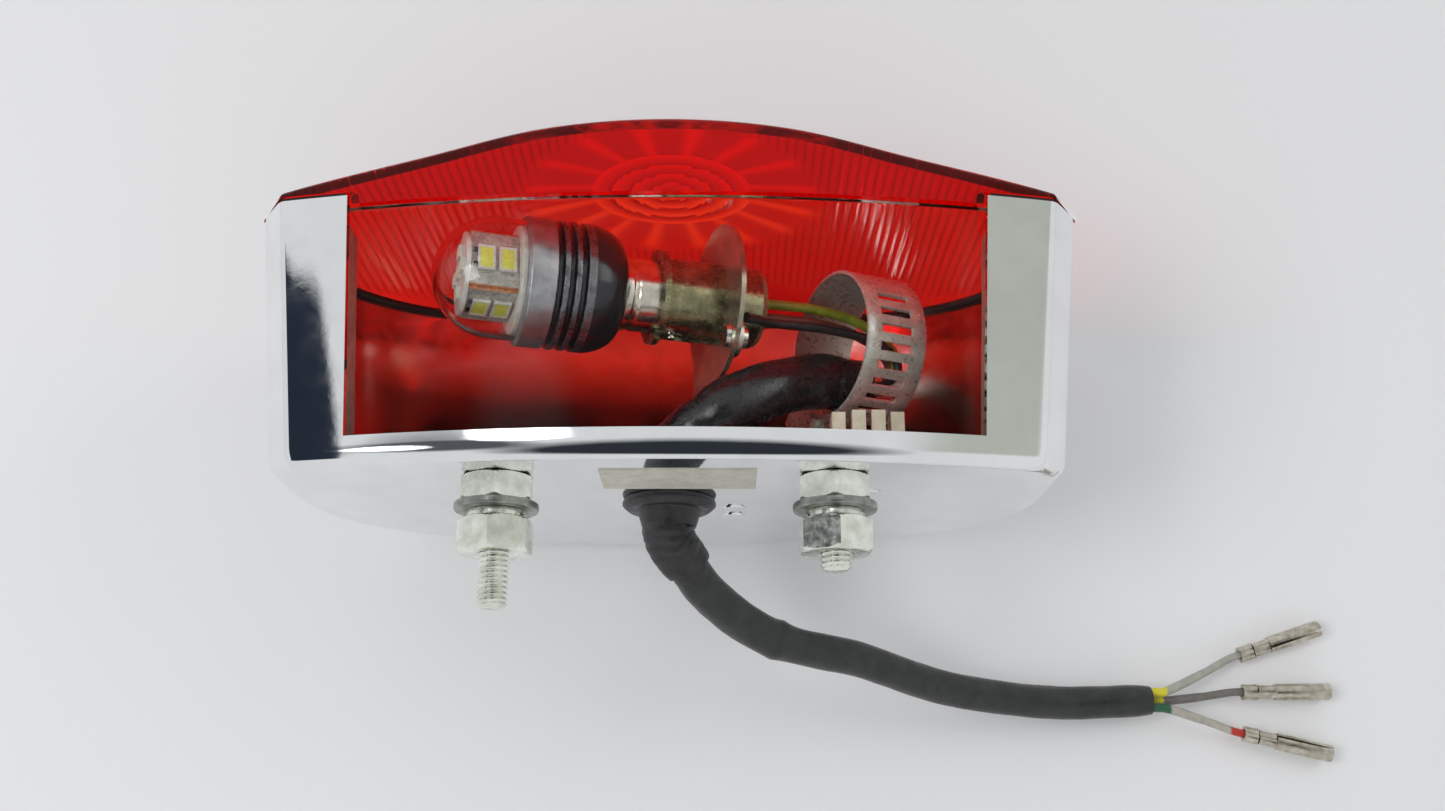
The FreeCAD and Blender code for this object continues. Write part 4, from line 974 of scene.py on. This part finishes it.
def sleeve_radius(s, a):
    """The sleeve tapers, flattens, and has a ridge and a soft end."""
    taper = 0.35 * max(0.0, (s - 0.55) / 0.45) + (0.25 if s > 0.56 else 0.0)
    ridge = 0.32 * math.exp(-((s - 0.56) / 0.010) ** 2)
    end = 0.5 * max(0.0, (s - 0.965) / 0.035) ** 2
    flat = 0.28 * max(0.0, (s - 0.5)) * math.cos(2 * a)
    return SLEEVE_RADIUS - 0.15 - taper + ridge - end + flat + wrinkle(s, a, 0.16)


def grommet_and_sleeve():
    low, high = node_box("grommet")
    flange, end, wall = high.x, high.y - 0.2, -WALL - 0.05
    moulding = lathe([
        (low.y, 4.7), (low.y, 7.2, 0.4), (wall, 8.2, 0.5), (wall, 6.5, 0.15), (0.05, 6.5, 0.15),
        (0.05, flange - 0.5, 0.2), (1.2, flange, 1.0), (2.4, flange - 1.4, 0.8), (2.4, 6.4, 0.5),
        (end, 5.4, 0.4), (end, 4.7, 0.2), (low.y, 4.7)], 72, closed=True)
    piece("grommet_moulding", moulding, RUBBER, "grommet", "housing",
          moved(0, 0, GROMMET_Z) @ turned(90, "Z"))
    line = sleeve_line()
    first = next(i for i, p in enumerate(line) if p.y > 4.2)
    last = next(i for i, p in enumerate(line) if p.y > 15.0)
    piece("cable_collar", collar(line[first:last + 1]), RUBBER, sharp=60)
    sleeve = sweep(line, sleeve_radius, lambda s, a: SLEEVE_RADIUS - 1.5 - 0.2 * s, 40)
    piece("sleeve", sleeve, SLEEVE, "cable_sleeve", sharp=60)


# each core: where its terminal starts, which way it points, how the core leaves the sleeve
CORES = {
    "upper": ((128.0, 25.0), (20.0, -6.6), -1.7, -0.8),
    "middle": ((127.8, 33.3), (20.0, -0.1), 0.0, 0.9),
    "lower": ((127.2, 42.4), (20.0, 4.7), 1.7, -0.8),
}
YELLOW, GREEN, RED_MARK = (0.62, 0.56, 0.03), (0.02, 0.10, 0.05), (0.45, 0.03, 0.02)


def terminal_frame(name):
    """Local X along the terminal, from the end its wire enters."""
    (x, y), (dx, dy) = CORES[name][:2]
    low, high = node_box(name + "_terminal")
    return frame_at((x, y, (low.z + high.z) / 2), (dx, dy, 0))


def slit_tube(start, end, outer, inner, slit, steps=30):
    """A rolled sheet tube with its seam left open by slit degrees."""
    verts, rings = [], []
    angles = [math.radians(90 + slit / 2 + (360 - slit) * k / steps) for k in range(steps + 1)]
    for x in (start, start + 0.25, end - 0.25, end):
        soft = 0.12 if x in (start, end) else 0.0
        rings.append(add_row(verts, [polar(x, outer - soft, a) for a in angles]
                             + [polar(x, inner + soft, a) for a in reversed(angles)]))
    last = 2 * steps + 1
    return verts, quads(rings) + [(ring[k], ring[k + 1], ring[last - 1 - k], ring[last - k])
                                  for ring in (rings[0], rings[-1]) for k in range(steps)]


def crimp(start, end, outer, inner, pinch, steps=40, stations=9):
    """A crimped barrel: two lobes rolled in over the wire."""
    verts, rings = [], []
    shares = [i / (stations - 1) for i in range(stations)]
    for t in shares:
        def lobed(a):
            dent = pinch * math.exp(-((math.degrees(a) - 90) / 26) ** 2)
            x, y, z = polar(start + (end - start) * t, outer + 0.12 * abs(2 * t - 1) ** 3 - dent, a)
            return x, y * 1.08, z * 0.94

        rings.append(add_ring(verts, steps, lobed))
    for t in reversed(shares):
        rings.append(add_ring(verts, steps, lambda a: polar(start + (end - start) * t, inner, a)))
    return verts, quads(rings + rings[:1])


def terminals():
    """Three rolled bullet sockets, each crimped on its wire."""
    for name, roll in (("upper", 200), ("middle", 35), ("lower", 150)):
        shape = Shape(crimp(0.0, 3.0, 1.62, 1.08, 0.45))
        shape.add(crimp(3.4, 7.2, 1.42, 0.62, 0.55))
        shape.add(slit_tube(7.2, 19.6, BULLET_RADIUS, BULLET_RADIUS - 0.36, 16))
        shape.add(bar((2.9, -0.75, -1.62), (8.2, 0.75, -1.22), 0.12))
        piece(name + "_bullet", shape, TIN, name + "_terminal", "housing",
              terminal_frame(name) @ turned(roll, "X"), 40)


def core_radius(s, a):
    return 1.0 - 0.12 * max(0.0, min(1.0, (s - 0.45) / 0.05)) + wrinkle(s, a, 0.05, 2)


def wires():
    """Each core leaves the sleeve, bends and enters its terminal."""
    skins = {
        "upper": wire_skin("upper_skin", (0.30, 0.29, 0.26), YELLOW, 109.6),
        "middle": wire_skin("middle_skin", (0.13, 0.12, 0.11), YELLOW, 109.0),
        "lower": wire_skin("lower_skin", (0.34, 0.32, 0.28), GREEN, 110.2, RED_MARK, 124.2),
    }
    for name, (_, _, spread, lift) in CORES.items():
        place = terminal_frame(name)
        tip = place.translation
        way = place.to_3x3() @ Vector((1, 0, 0))
        start = Vector((104.0, 35.4 + spread, CABLE_REST + lift))
        mouth = start + Vector((6.0, 0.2 * spread, 0))
        line = smooth_line([start, start + Vector((3.0, 0, 0)), mouth, mouth.lerp(tip, 0.5), tip - way * 2.5,
                            tip + way * 1.5, tip + way * 3.2])
        piece(name + "_core", sweep(line, core_radius, None, 20), skins[name], name + "_wire",
              sharp=60)


# ---- bulb ---------------------------------------------------------------------------------------

TOWER_ACROSS = 13.6
TOWER_TURN = 35
CHIP_PITCH = 4.2
CHIP_SIZE = (3.4, 5.4)
END_CHIP_SIZE = (2.6, 2.6)
CHIP_HEIGHT = 0.7
CHIP_RIM = 0.36
CHIP_WELL = 0.10


def lamp_box(name):
    """A node's extent along the lamp's axis, from its own vertices."""
    back = LAMP.inverted()
    along = [(back @ (v.co / MM)).x for v in frame["nodes"][name].data.vertices]
    return min(along), max(along)


def bulb_piece(name, shape, materials, node, sharp=35):
    piece(name, shape, materials, node, "bulb", LAMP, sharp)


def bulb_base():
    """The nickel bayonet cap: a tube with a rolled lower edge, a bead and two side pins."""
    start, end = lamp_box("bulb_base")
    radius = 7.5
    bulb_piece("bulb_cap", lathe([
        (start, radius - 1.0), (start, radius - 0.15, 0.1), (start + 0.5, radius, 0.2),
        (start + 1.4, radius, 0.3), (start + 1.9, radius - 0.28, 0.3), (start + 2.6, radius - 0.28, 0.3),
        (start + 3.1, radius, 0.3), (end - 1.3, radius, 0.9), (end, radius - 1.1, 0.35),
        (end, radius - 1.7, 0.1), (end - 1.0, radius - 1.0), (start, radius - 1.0)], 80, closed=True),
        NICKEL, "bulb_base")
    pins = Shape()
    reach = 8.9 - radius - 0.02
    pin = lathe([(0, 0), (0, 0.98), (reach - 0.1, 0.98, 0.35), (reach, 0.5, 0.1), (reach, 0)], 24)
    for at, side in ((0.0, 1), (3.0, -1)):
        pins.add(pin, 0, moved(at, side * (radius + 0.02), 0) @ turned(90 * side, "Z"))
    bulb_piece("bayonet_pins", pins, NICKEL, "bulb_pins")
    start, end = lamp_box("bulb_insulator")
    bulb_piece("glass_insulator", lathe([(start, 0), (start, 6.6), (end - 1.0, 6.6, 0.2), (end, 5.7, 0.4),
                                         (end - 0.5, 1.0, 0.3), (end - 0.6, 0)], 60),
               INSULATOR, "bulb_insulator")
    start, end = lamp_box("bulb_contacts")
    turns = [math.pi / 2 * k / 6 for k in range(6)]
    blob = lathe([(start, 0)] + [(start + (end - start) * math.sin(a), 1.5 * math.cos(a) ** 0.8) for a in turns]
                 + [(end, 0)], 28)
    contacts = Shape(None)
    for side in (-1, 1):
        contacts.add(blob, 0, moved(0, side * 3.2, 0))
    bulb_piece("solder_contacts", contacts, TIN, "bulb_contacts")


def bulb_heatsink():
    """The aluminium body: a satin front band, three grooves and a black rounded shoulder."""
    start, end = lamp_box("bulb_heatsink")
    radius, groove = 13.2, 1.1
    band_end, shoulder = start + 5.4, start + 13.4
    profile = [(start, 0), (start, radius - 0.7, 0.1), (start + 0.5, radius, 0.3)]
    for k in range(3):
        at = start + 5.6 + 2.4 * k
        profile += [(at, radius, 0.2), (at + 0.3, radius - groove, 0.25), (at + 1.1, radius - groove, 0.25),
                    (at + 1.4, radius, 0.2)]
    for a in (math.pi / 2 * k / 12 for k in range(13)):
        profile.append((shoulder + (end - shoulder - 0.01) * math.sin(a) ** 1.1, radius - 5.3 * (1 - math.cos(a))))
    shape = Shape(lathe(profile + [(end, 7.6), (end, 0)], 96))
    for i, face in enumerate(shape.faces):
        middle = sum(shape.verts[k].x for k in face) / len(face)
        crest = all(shape.verts[k].yz.length > radius - 0.25 for k in face)
        shape.indices[i] = 1 if middle < band_end else 2 if crest and middle < start + 13.0 else 0
    bulb_piece("heatsink_body", shape, [SINK_BLACK, SINK_SILVER, SINK_GREY], "bulb_heatsink", 40)


def led_chip(shape, along, across, flat, turn, size):
    """One chip: a white case with a shallow well of yellow phosphor. Local Z points out of the face."""
    place = turn @ moved(along, across, flat)
    width, length = (side / 2 for side in size)
    well = [(side - CHIP_RIM) * 0.93 for side in (width, length)]
    floor = CHIP_HEIGHT - CHIP_WELL
    verts, rings = [], []
    for x, y, z in ((width, length, 0), (width, length, CHIP_HEIGHT),
                    (width - CHIP_RIM, length - CHIP_RIM, CHIP_HEIGHT), (*well, floor)):
        rings.append(add_row(verts, [(-x, -y, z), (x, -y, z), (x, y, z), (-x, y, z)]))
    shape.add((verts, [tuple(reversed(rings[0]))] + quads(rings)), 0, place)
    span = [2 * k / 5 - 1 for k in range(6)]
    pad = [(u * well[0], v * well[1], floor + 0.12 * (1 - u * u) * (1 - v * v)) for v in span for u in span]
    shape.add((pad, [(k, k + 1, k + 7, k + 6) for k in range(29) if k % 6 < 5]), 1, place)


def resistor(shape, along, across, flat, turn):
    """A small black part with bright ends, lying on the face."""
    place = turn @ moved(along, across, flat)
    shape.add(bar((-0.55, -0.4, 0), (0.55, 0.4, 0.42)), 2, place)
    for x0, x1 in ((-0.8, -0.55), (0.55, 0.8)):
        shape.add(bar((x0, -0.42, 0), (x1, 0.42, 0.44)), 3, place)


def disc(box, radius, soft):
    start, end = box
    return lathe([(start, 0), (start, radius, soft), (end, radius, soft), (end, 0)], 64)


def led_lamp():
    """The board, the four-sided tower of boards, the end board and all the chips."""
    bulb_piece("led_base_board", disc(lamp_box("led_board"), 11.1, 0.15), BOARD, "led_board")
    front, back = lamp_box("led_tower")
    half = TOWER_ACROSS / 2
    edge, core = half - 0.75, half - 0.7
    chips = Shape()
    shape = Shape().add(bar((front + 0.3, -core, -core), (back - 0.01, core, core)), 1, turned(45 + TOWER_TURN, "X"))
    for face in range(4):
        turn = turned(90 * face + 45 + TOWER_TURN, "X")
        shape.add(bar((front + 0.01, -edge, half - 0.75), (back - 0.01, edge, half - 0.12)), 1, turn)
        shape.add(bar((front + 0.06, -edge + 0.22, half - 0.5), (back - 0.06, edge - 0.22, half - 0.02)), 0, turn)
        for along in (back - 2.3, back - 2.3 - CHIP_PITCH):
            led_chip(chips, along, 0.0, half + 0.01, turn, CHIP_SIZE)
            for across in (-CHIP_SIZE[1] / 2 - 0.35, CHIP_SIZE[1] / 2 + 0.35):
                shape.add(bar((along - 1.2, across - 0.3, half - 0.03), (along + 1.2, across + 0.3, half + 0.1)),
                          2, turn)
        for side in (-1, 1):
            resistor(chips, front + 1.1, side * 1.6, half, turn)
    bulb_piece("led_boards", shape, [BOARD_FACE, COPPER, TIN], "led_tower")
    front, back = lamp_box("led_front_board")
    face_out = moved(front - 0.02, 0, 0) @ turned(-90, "Y")
    for y, z in ((0, 0), (4.4, 0), (-4.4, 0), (0, 4.4), (0, -4.4)):
        led_chip(chips, z, y, 0.0, face_out, END_CHIP_SIZE)
    bulb_piece("led_chip_set", chips, [CHIP_CASE, PHOSPHOR, INSULATOR, TIN], "led_chips")
    bulb_piece("led_end_board", disc((front, back), 8.4, 0.12), BOARD, "led_front_board")


def bulb_dome():
    """The clear cap over the chips, with a round end."""
    start, end = lamp_box("bulb_dome")
    outer, wall = 12.3, 0.8
    centre = start + outer
    sheets = []
    for radius in (outer, outer - wall):
        turns = [math.pi / 2 * k / 24 for k in range(25)]
        sheets.append([(centre - radius * math.cos(a), radius * math.sin(a)) for a in turns]
                      + [(centre + (end - centre) * k / 4, radius) for k in range(1, 5)])
    bulb_piece("dome", lathe(sheets[0] + sheets[1][::-1], 96), DOME_CLEAR, "bulb_dome", 60)


# ---- inside the housing -------------------------------------------------------------------------

KEPT = {
    "socket_shell": (SOCKET_TUBE, 0), "socket_bracket": (SOCKET_DISC, 0.15), "bracket_rivets": (CHROME, 0.05),
    "socket_cap": (PHENOLIC, 0.15), "socket_plunger": (PHENOLIC, 0.15), "plunger_contacts": (BRASS, 0.05),
    "socket_spring": (SPRING, 0, 60), "earth_screw": (ZINC, 0.1), "earth_eyelet": (TIN, 0.1),
    "clamp_screw_box": (STEEL_BAND, 0.2), "clamp_screw": (ZINC, 0.15), "terminal_block": (NYLON, 0.3),
    "block_screw": (CHROME, 0.05), "left_rib": (CAST, 0.2), "right_rib": (CAST, 0.2), "lens_seal": (SEAL, 0),
    "label": (LABEL, 0.08),
}


def inner_wiring():
    """The rubber boot, the two bulb leads and the earth lead."""
    def lamp_points(*points):
        return [LAMP @ Vector(p) for p in points]

    level = GROMMET_Z
    line = smooth_line([(0, -6.6, level), (1.0, -10.0, level - 1.4), (10.0, -17.0, level - 5.2),
                        (21.0, -22.8, level - 2.0)]
                       + lamp_points((33, 14.7, -1.0), (38, 14.9, -0.4), (43, 14.9, 0)), 12)
    boot = sweep(line, lambda s, a: 5.85 + wrinkle(s, a, 0.3, 2.5)
                 - 0.5 * math.exp(-((s - 0.30) / 0.02) ** 2) * (0.5 + 0.5 * math.cos(a)), lambda s, a: 4.7, 44)
    piece("boot", boot, BOOT, "cable_boot", sharp=60)
    start = lamp_box("socket_cap")[1] + 0.3
    leads = Shape()
    for index, side in enumerate((-1.6, 1.6)):
        line = smooth_line(lamp_points((start, side, 0), (34, side, 0), (45, 2.5 + side, 0.6),
                                       (51, 8.5 + 0.4 * side, 1 + side), (47, 14.9, 1 + side),
                                       (40, 14.9, 1 + side)))
        leads.add(sweep(line, lambda s, a: 1.08, None, 20), index)
    piece("bulb_wires", leads, [LEAD_GREEN, LEAD_BROWN], "bulb_leads", sharp=60)
    line = smooth_line(lamp_points((12.6, 6.3, -11.0), (20, 5.5, -7.5), (33, 4.5, -5.0), (45, 6.0, -4.5),
                                   (50, 10.5, -3.4), (46.5, 14.9, -3.0), (40, 14.9, -3.0)))
    piece("earth_wire", sweep(line, lambda s, a: 0.98, None, 20), LEAD_BLACK, "earth_lead", sharp=60)


CLAMP = moved(40.0, -36.0, 29.5) @ turned(-26, "Y")
BAND_OUTER, BAND_INNER, BAND_WIDTH = 16.0, 15.3, 14.0
SLOT_LONG, SLOT_WIDE = 7.4, 1.8
SLOT_PITCHES, SLOT_COUNT, SLOT_FIRST = 26, 13, 245


def clamp_band():
    """The band: a thin ring whose worm slots run over the half that feeds the screw box."""
    pitch = 2 * math.pi / SLOT_PITCHES
    half = SLOT_WIDE / (BAND_OUTER * pitch) / 2
    marks = [0.0, 0.12, 0.24, 0.47 - half, 0.5 - half, 0.5, 0.5 + half, 0.53 + half, 0.76, 0.88]
    steps = len(marks)
    edge, long = BAND_WIDTH / 2, SLOT_LONG / 2
    xs = [-edge, -edge + 0.3, -long - 0.4, -long, 0, long, long + 0.4, edge - 0.3, edge]
    columns, total = len(xs) - 1, SLOT_PITCHES * steps

    def slotted(i):
        return i // steps < SLOT_COUNT

    def hollow(i, j):
        return slotted(i) and i % steps in (4, 5) and 3 <= j < 5

    verts, sheets = [], []
    for radius in (BAND_OUTER, BAND_INNER):
        sheet = []
        for i in range(total):
            a = math.radians(SLOT_FIRST) + pitch * (i // steps - 0.5 + marks[i % steps])
            pressed = 0.12 if slotted(i) and i % steps in (4, 6) else 0
            sheet.append(add_row(verts, [polar(x, radius - (0.15 if abs(x) == edge and radius == BAND_OUTER else 0)
                                               - (pressed if abs(x) <= long else 0), a) for x in xs]))
        sheets.append(sheet)
    outer, inner = sheets
    faces = []
    for i in range(total):
        n = (i + 1) % total
        for j in range(columns):
            if hollow(i, j):
                continue
            faces.append((outer[i][j], outer[n][j], outer[n][j + 1], outer[i][j + 1]))
            faces.append((inner[i][j + 1], inner[n][j + 1], inner[n][j], inner[i][j]))
            for di, dj, (ai, aj), (bi, bj) in ((-1, 0, (i, j + 1), (i, j)), (1, 0, (n, j), (n, j + 1)),
                                               (0, -1, (i, j), (n, j)), (0, 1, (n, j + 1), (i, j + 1))):
                if not 0 <= j + dj < columns or hollow((i + di) % total, j + dj):
                    faces.append((outer[bi][bj], outer[ai][aj], inner[ai][aj], inner[bi][bj]))
    piece("clamp_strip", (verts, faces), STEEL_BAND, "clamp_band", "housing", CLAMP, 30)


housing()
lens()
window()
hardware()
grommet_and_sleeve()
wires()
terminals()
bulb_base()
bulb_heatsink()
led_lamp()
bulb_dome()
inner_wiring()
clamp_band()
for kept_name, finish in KEPT.items():
    keep_cad(kept_name, *finish)


# ---- stage: table, light and camera -------------------------------------------------------------

TABLE_LEVEL = max(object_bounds()[1].z, cad_box[1].z) + 0.02 * MM
PALE = (0.80, 0.80, 0.808)
ROOM = (0.80, 0.81, 0.82)
ROOM_LIGHT = 0.9
AIM = Vector((0, -0.02, 0))

# round patches of the room: direction, full and faded angle, colour
DARK_PATCHES = [
    ((0.02, 0.20, -0.97), 17, 25, (0.03, 0.035, 0.045)),
    ((-0.46, -0.06, -0.88), 8, 13, (0.10, 0.11, 0.12)),
]
BRIGHT_PATCHES = [
    ((-0.545, -0.035, -0.84), 2.5, 5.5, (4.0, 4.0, 4.0)),
    ((-0.31, -0.262, -0.915), 3.5, 6.0, (4.0, 4.0, 4.0)),
]
# flat panels of the room: span of directions in x and in y, softness, colour
PANELS = [
    ((0.45, 0.70), (-0.45, 0.10), 0.05, (0.50, 0.53, 0.47)),
    ((-0.80, -0.612), (-0.325, 0.30), 0.006, (0.020, 0.028, 0.045)),
]


def pale_surface(name):
    """A pale matt sheet that shows only from its lit side."""
    material, tree, shader = new_material(name)
    tone = remap(tree, noise_map(tree, 0.004, 3), 0, 1)
    settings(shader, Roughness=0.6, Specular_IOR_Level=0.2,
             Base_Color=mixed(tree, tone, PALE, [c * 0.985 for c in PALE]))
    show_between(tree, node(tree, "NewGeometry").outputs["Backfacing"], shader, node(tree, "BsdfTransparent"))
    return material


def table(name, level, facing_up):
    """A plain sheet at a level, facing up or down."""
    half = 1.6
    centre = (cad_box[0] + cad_box[1]) / 2
    corners = [(-half, -half), (half, -half), (half, half), (-half, half)]
    if not facing_up:
        corners.reverse()
    mesh = new_mesh(name, [pale_surface(name + "_paint")])
    mesh.from_pydata([(centre.x + x, centre.y + y, level) for x, y in corners], [], [(0, 1, 2, 3)])
    obj = bpy.data.objects.new(name, mesh)
    bpy.context.scene.collection.objects.link(obj)
    obj.visible_shadow = False
    return obj


def soft_light(name, place, size, power):
    data = bpy.data.lights.new(name, "AREA")
    data.shape = "RECTANGLE"
    data.size = data.size_y = size
    data.energy = power
    obj = bpy.data.objects.new(name, data)
    obj.location = place
    obj.rotation_mode = "QUATERNION"
    obj.rotation_quaternion = (AIM - Vector(place)).to_track_quat("-Z", "Y")
    bpy.context.scene.collection.objects.link(obj)
    return obj


def studio_world():
    """A pale room; darker and lighter patches in it are what the chrome shows."""
    world = bpy.data.worlds.new("studio")
    bpy.context.scene.world = world
    world.use_nodes = True
    tree = world.node_tree
    way = node(tree, "TexCoord").outputs["Generated"]
    parts = node(tree, "SeparateXYZ", Vector=way).outputs

    def round_patch(direction, inner, outer):
        """1 within an angle of a direction, 0 outside a wider one."""
        dot = node(tree, "VectorMath", _operation="DOT_PRODUCT")
        feed(dot.inputs[0], way)
        feed(dot.inputs[1], Vector(direction).normalized())
        return remap(tree, dot.outputs["Value"], 0, 1, math.cos(math.radians(outer)), math.cos(math.radians(inner)))

    def panel(spans, soft):
        """1 inside a span of directions that point away from the table, 0 outside it."""
        share = remap(tree, parts[2], 1, 0, -0.2, -0.1)
        for part, (low, high) in zip(parts, spans):
            share = maths(tree, "MULTIPLY", share, remap(tree, part, 0, 1, low - soft, low + soft))
            share = maths(tree, "MULTIPLY", share, remap(tree, part, 1, 0, high - soft, high + soft))
        return share

    colour = ROOM
    for *patch, tone in DARK_PATCHES:
        colour = mixed(tree, round_patch(*patch), colour, tone)
    for *spans, soft, tone in PANELS:
        colour = mixed(tree, panel(spans, soft), colour, tone)
    for *patch, tone in BRIGHT_PATCHES:
        colour = mixed(tree, round_patch(*patch), colour, tone)
    settings(tree.nodes["Background"], Color=colour, Strength=ROOM_LIGHT)


TILT = math.radians(17.0)
LOOK = Vector((0, -math.sin(TILT), math.cos(TILT)))
UP = Vector((0, -math.cos(TILT), -math.sin(TILT)))
EYE = Vector((10.73, 70.32, -276.68)) * MM


def camera():
    """Over the lamp as it lies on its arch, leaning towards the back wall."""
    data = bpy.data.cameras.new("camera")
    data.sensor_width = 36.0
    data.lens = 37.37
    data.clip_start = 0.01
    obj = bpy.data.objects.new("camera", data)
    obj.matrix_world = Matrix.Translation(EYE) @ Matrix((LOOK.cross(UP), UP, -LOOK)).transposed().to_4x4()
    bpy.context.scene.collection.objects.link(obj)
    bpy.context.scene.camera = obj


table("table_behind", TABLE_LEVEL, False)
ground = table("ground", cad_box[0].z - 0.2 * MM, True)
ground.visible_diffuse = ground.visible_glossy = ground.visible_transmission = False
studio_world()
key = soft_light("key", (-0.55, 0.10, -0.75), 0.45, 3.2)
fill = soft_light("fill", (0.75, -0.25, -0.60), 0.5, 1.2)
key.visible_glossy = fill.visible_glossy = False
soft_light("top", (0.1, -0.4, 0.9), 0.6, 2)
camera()
bpy.context.scene.view_settings.view_transform = "Standard"
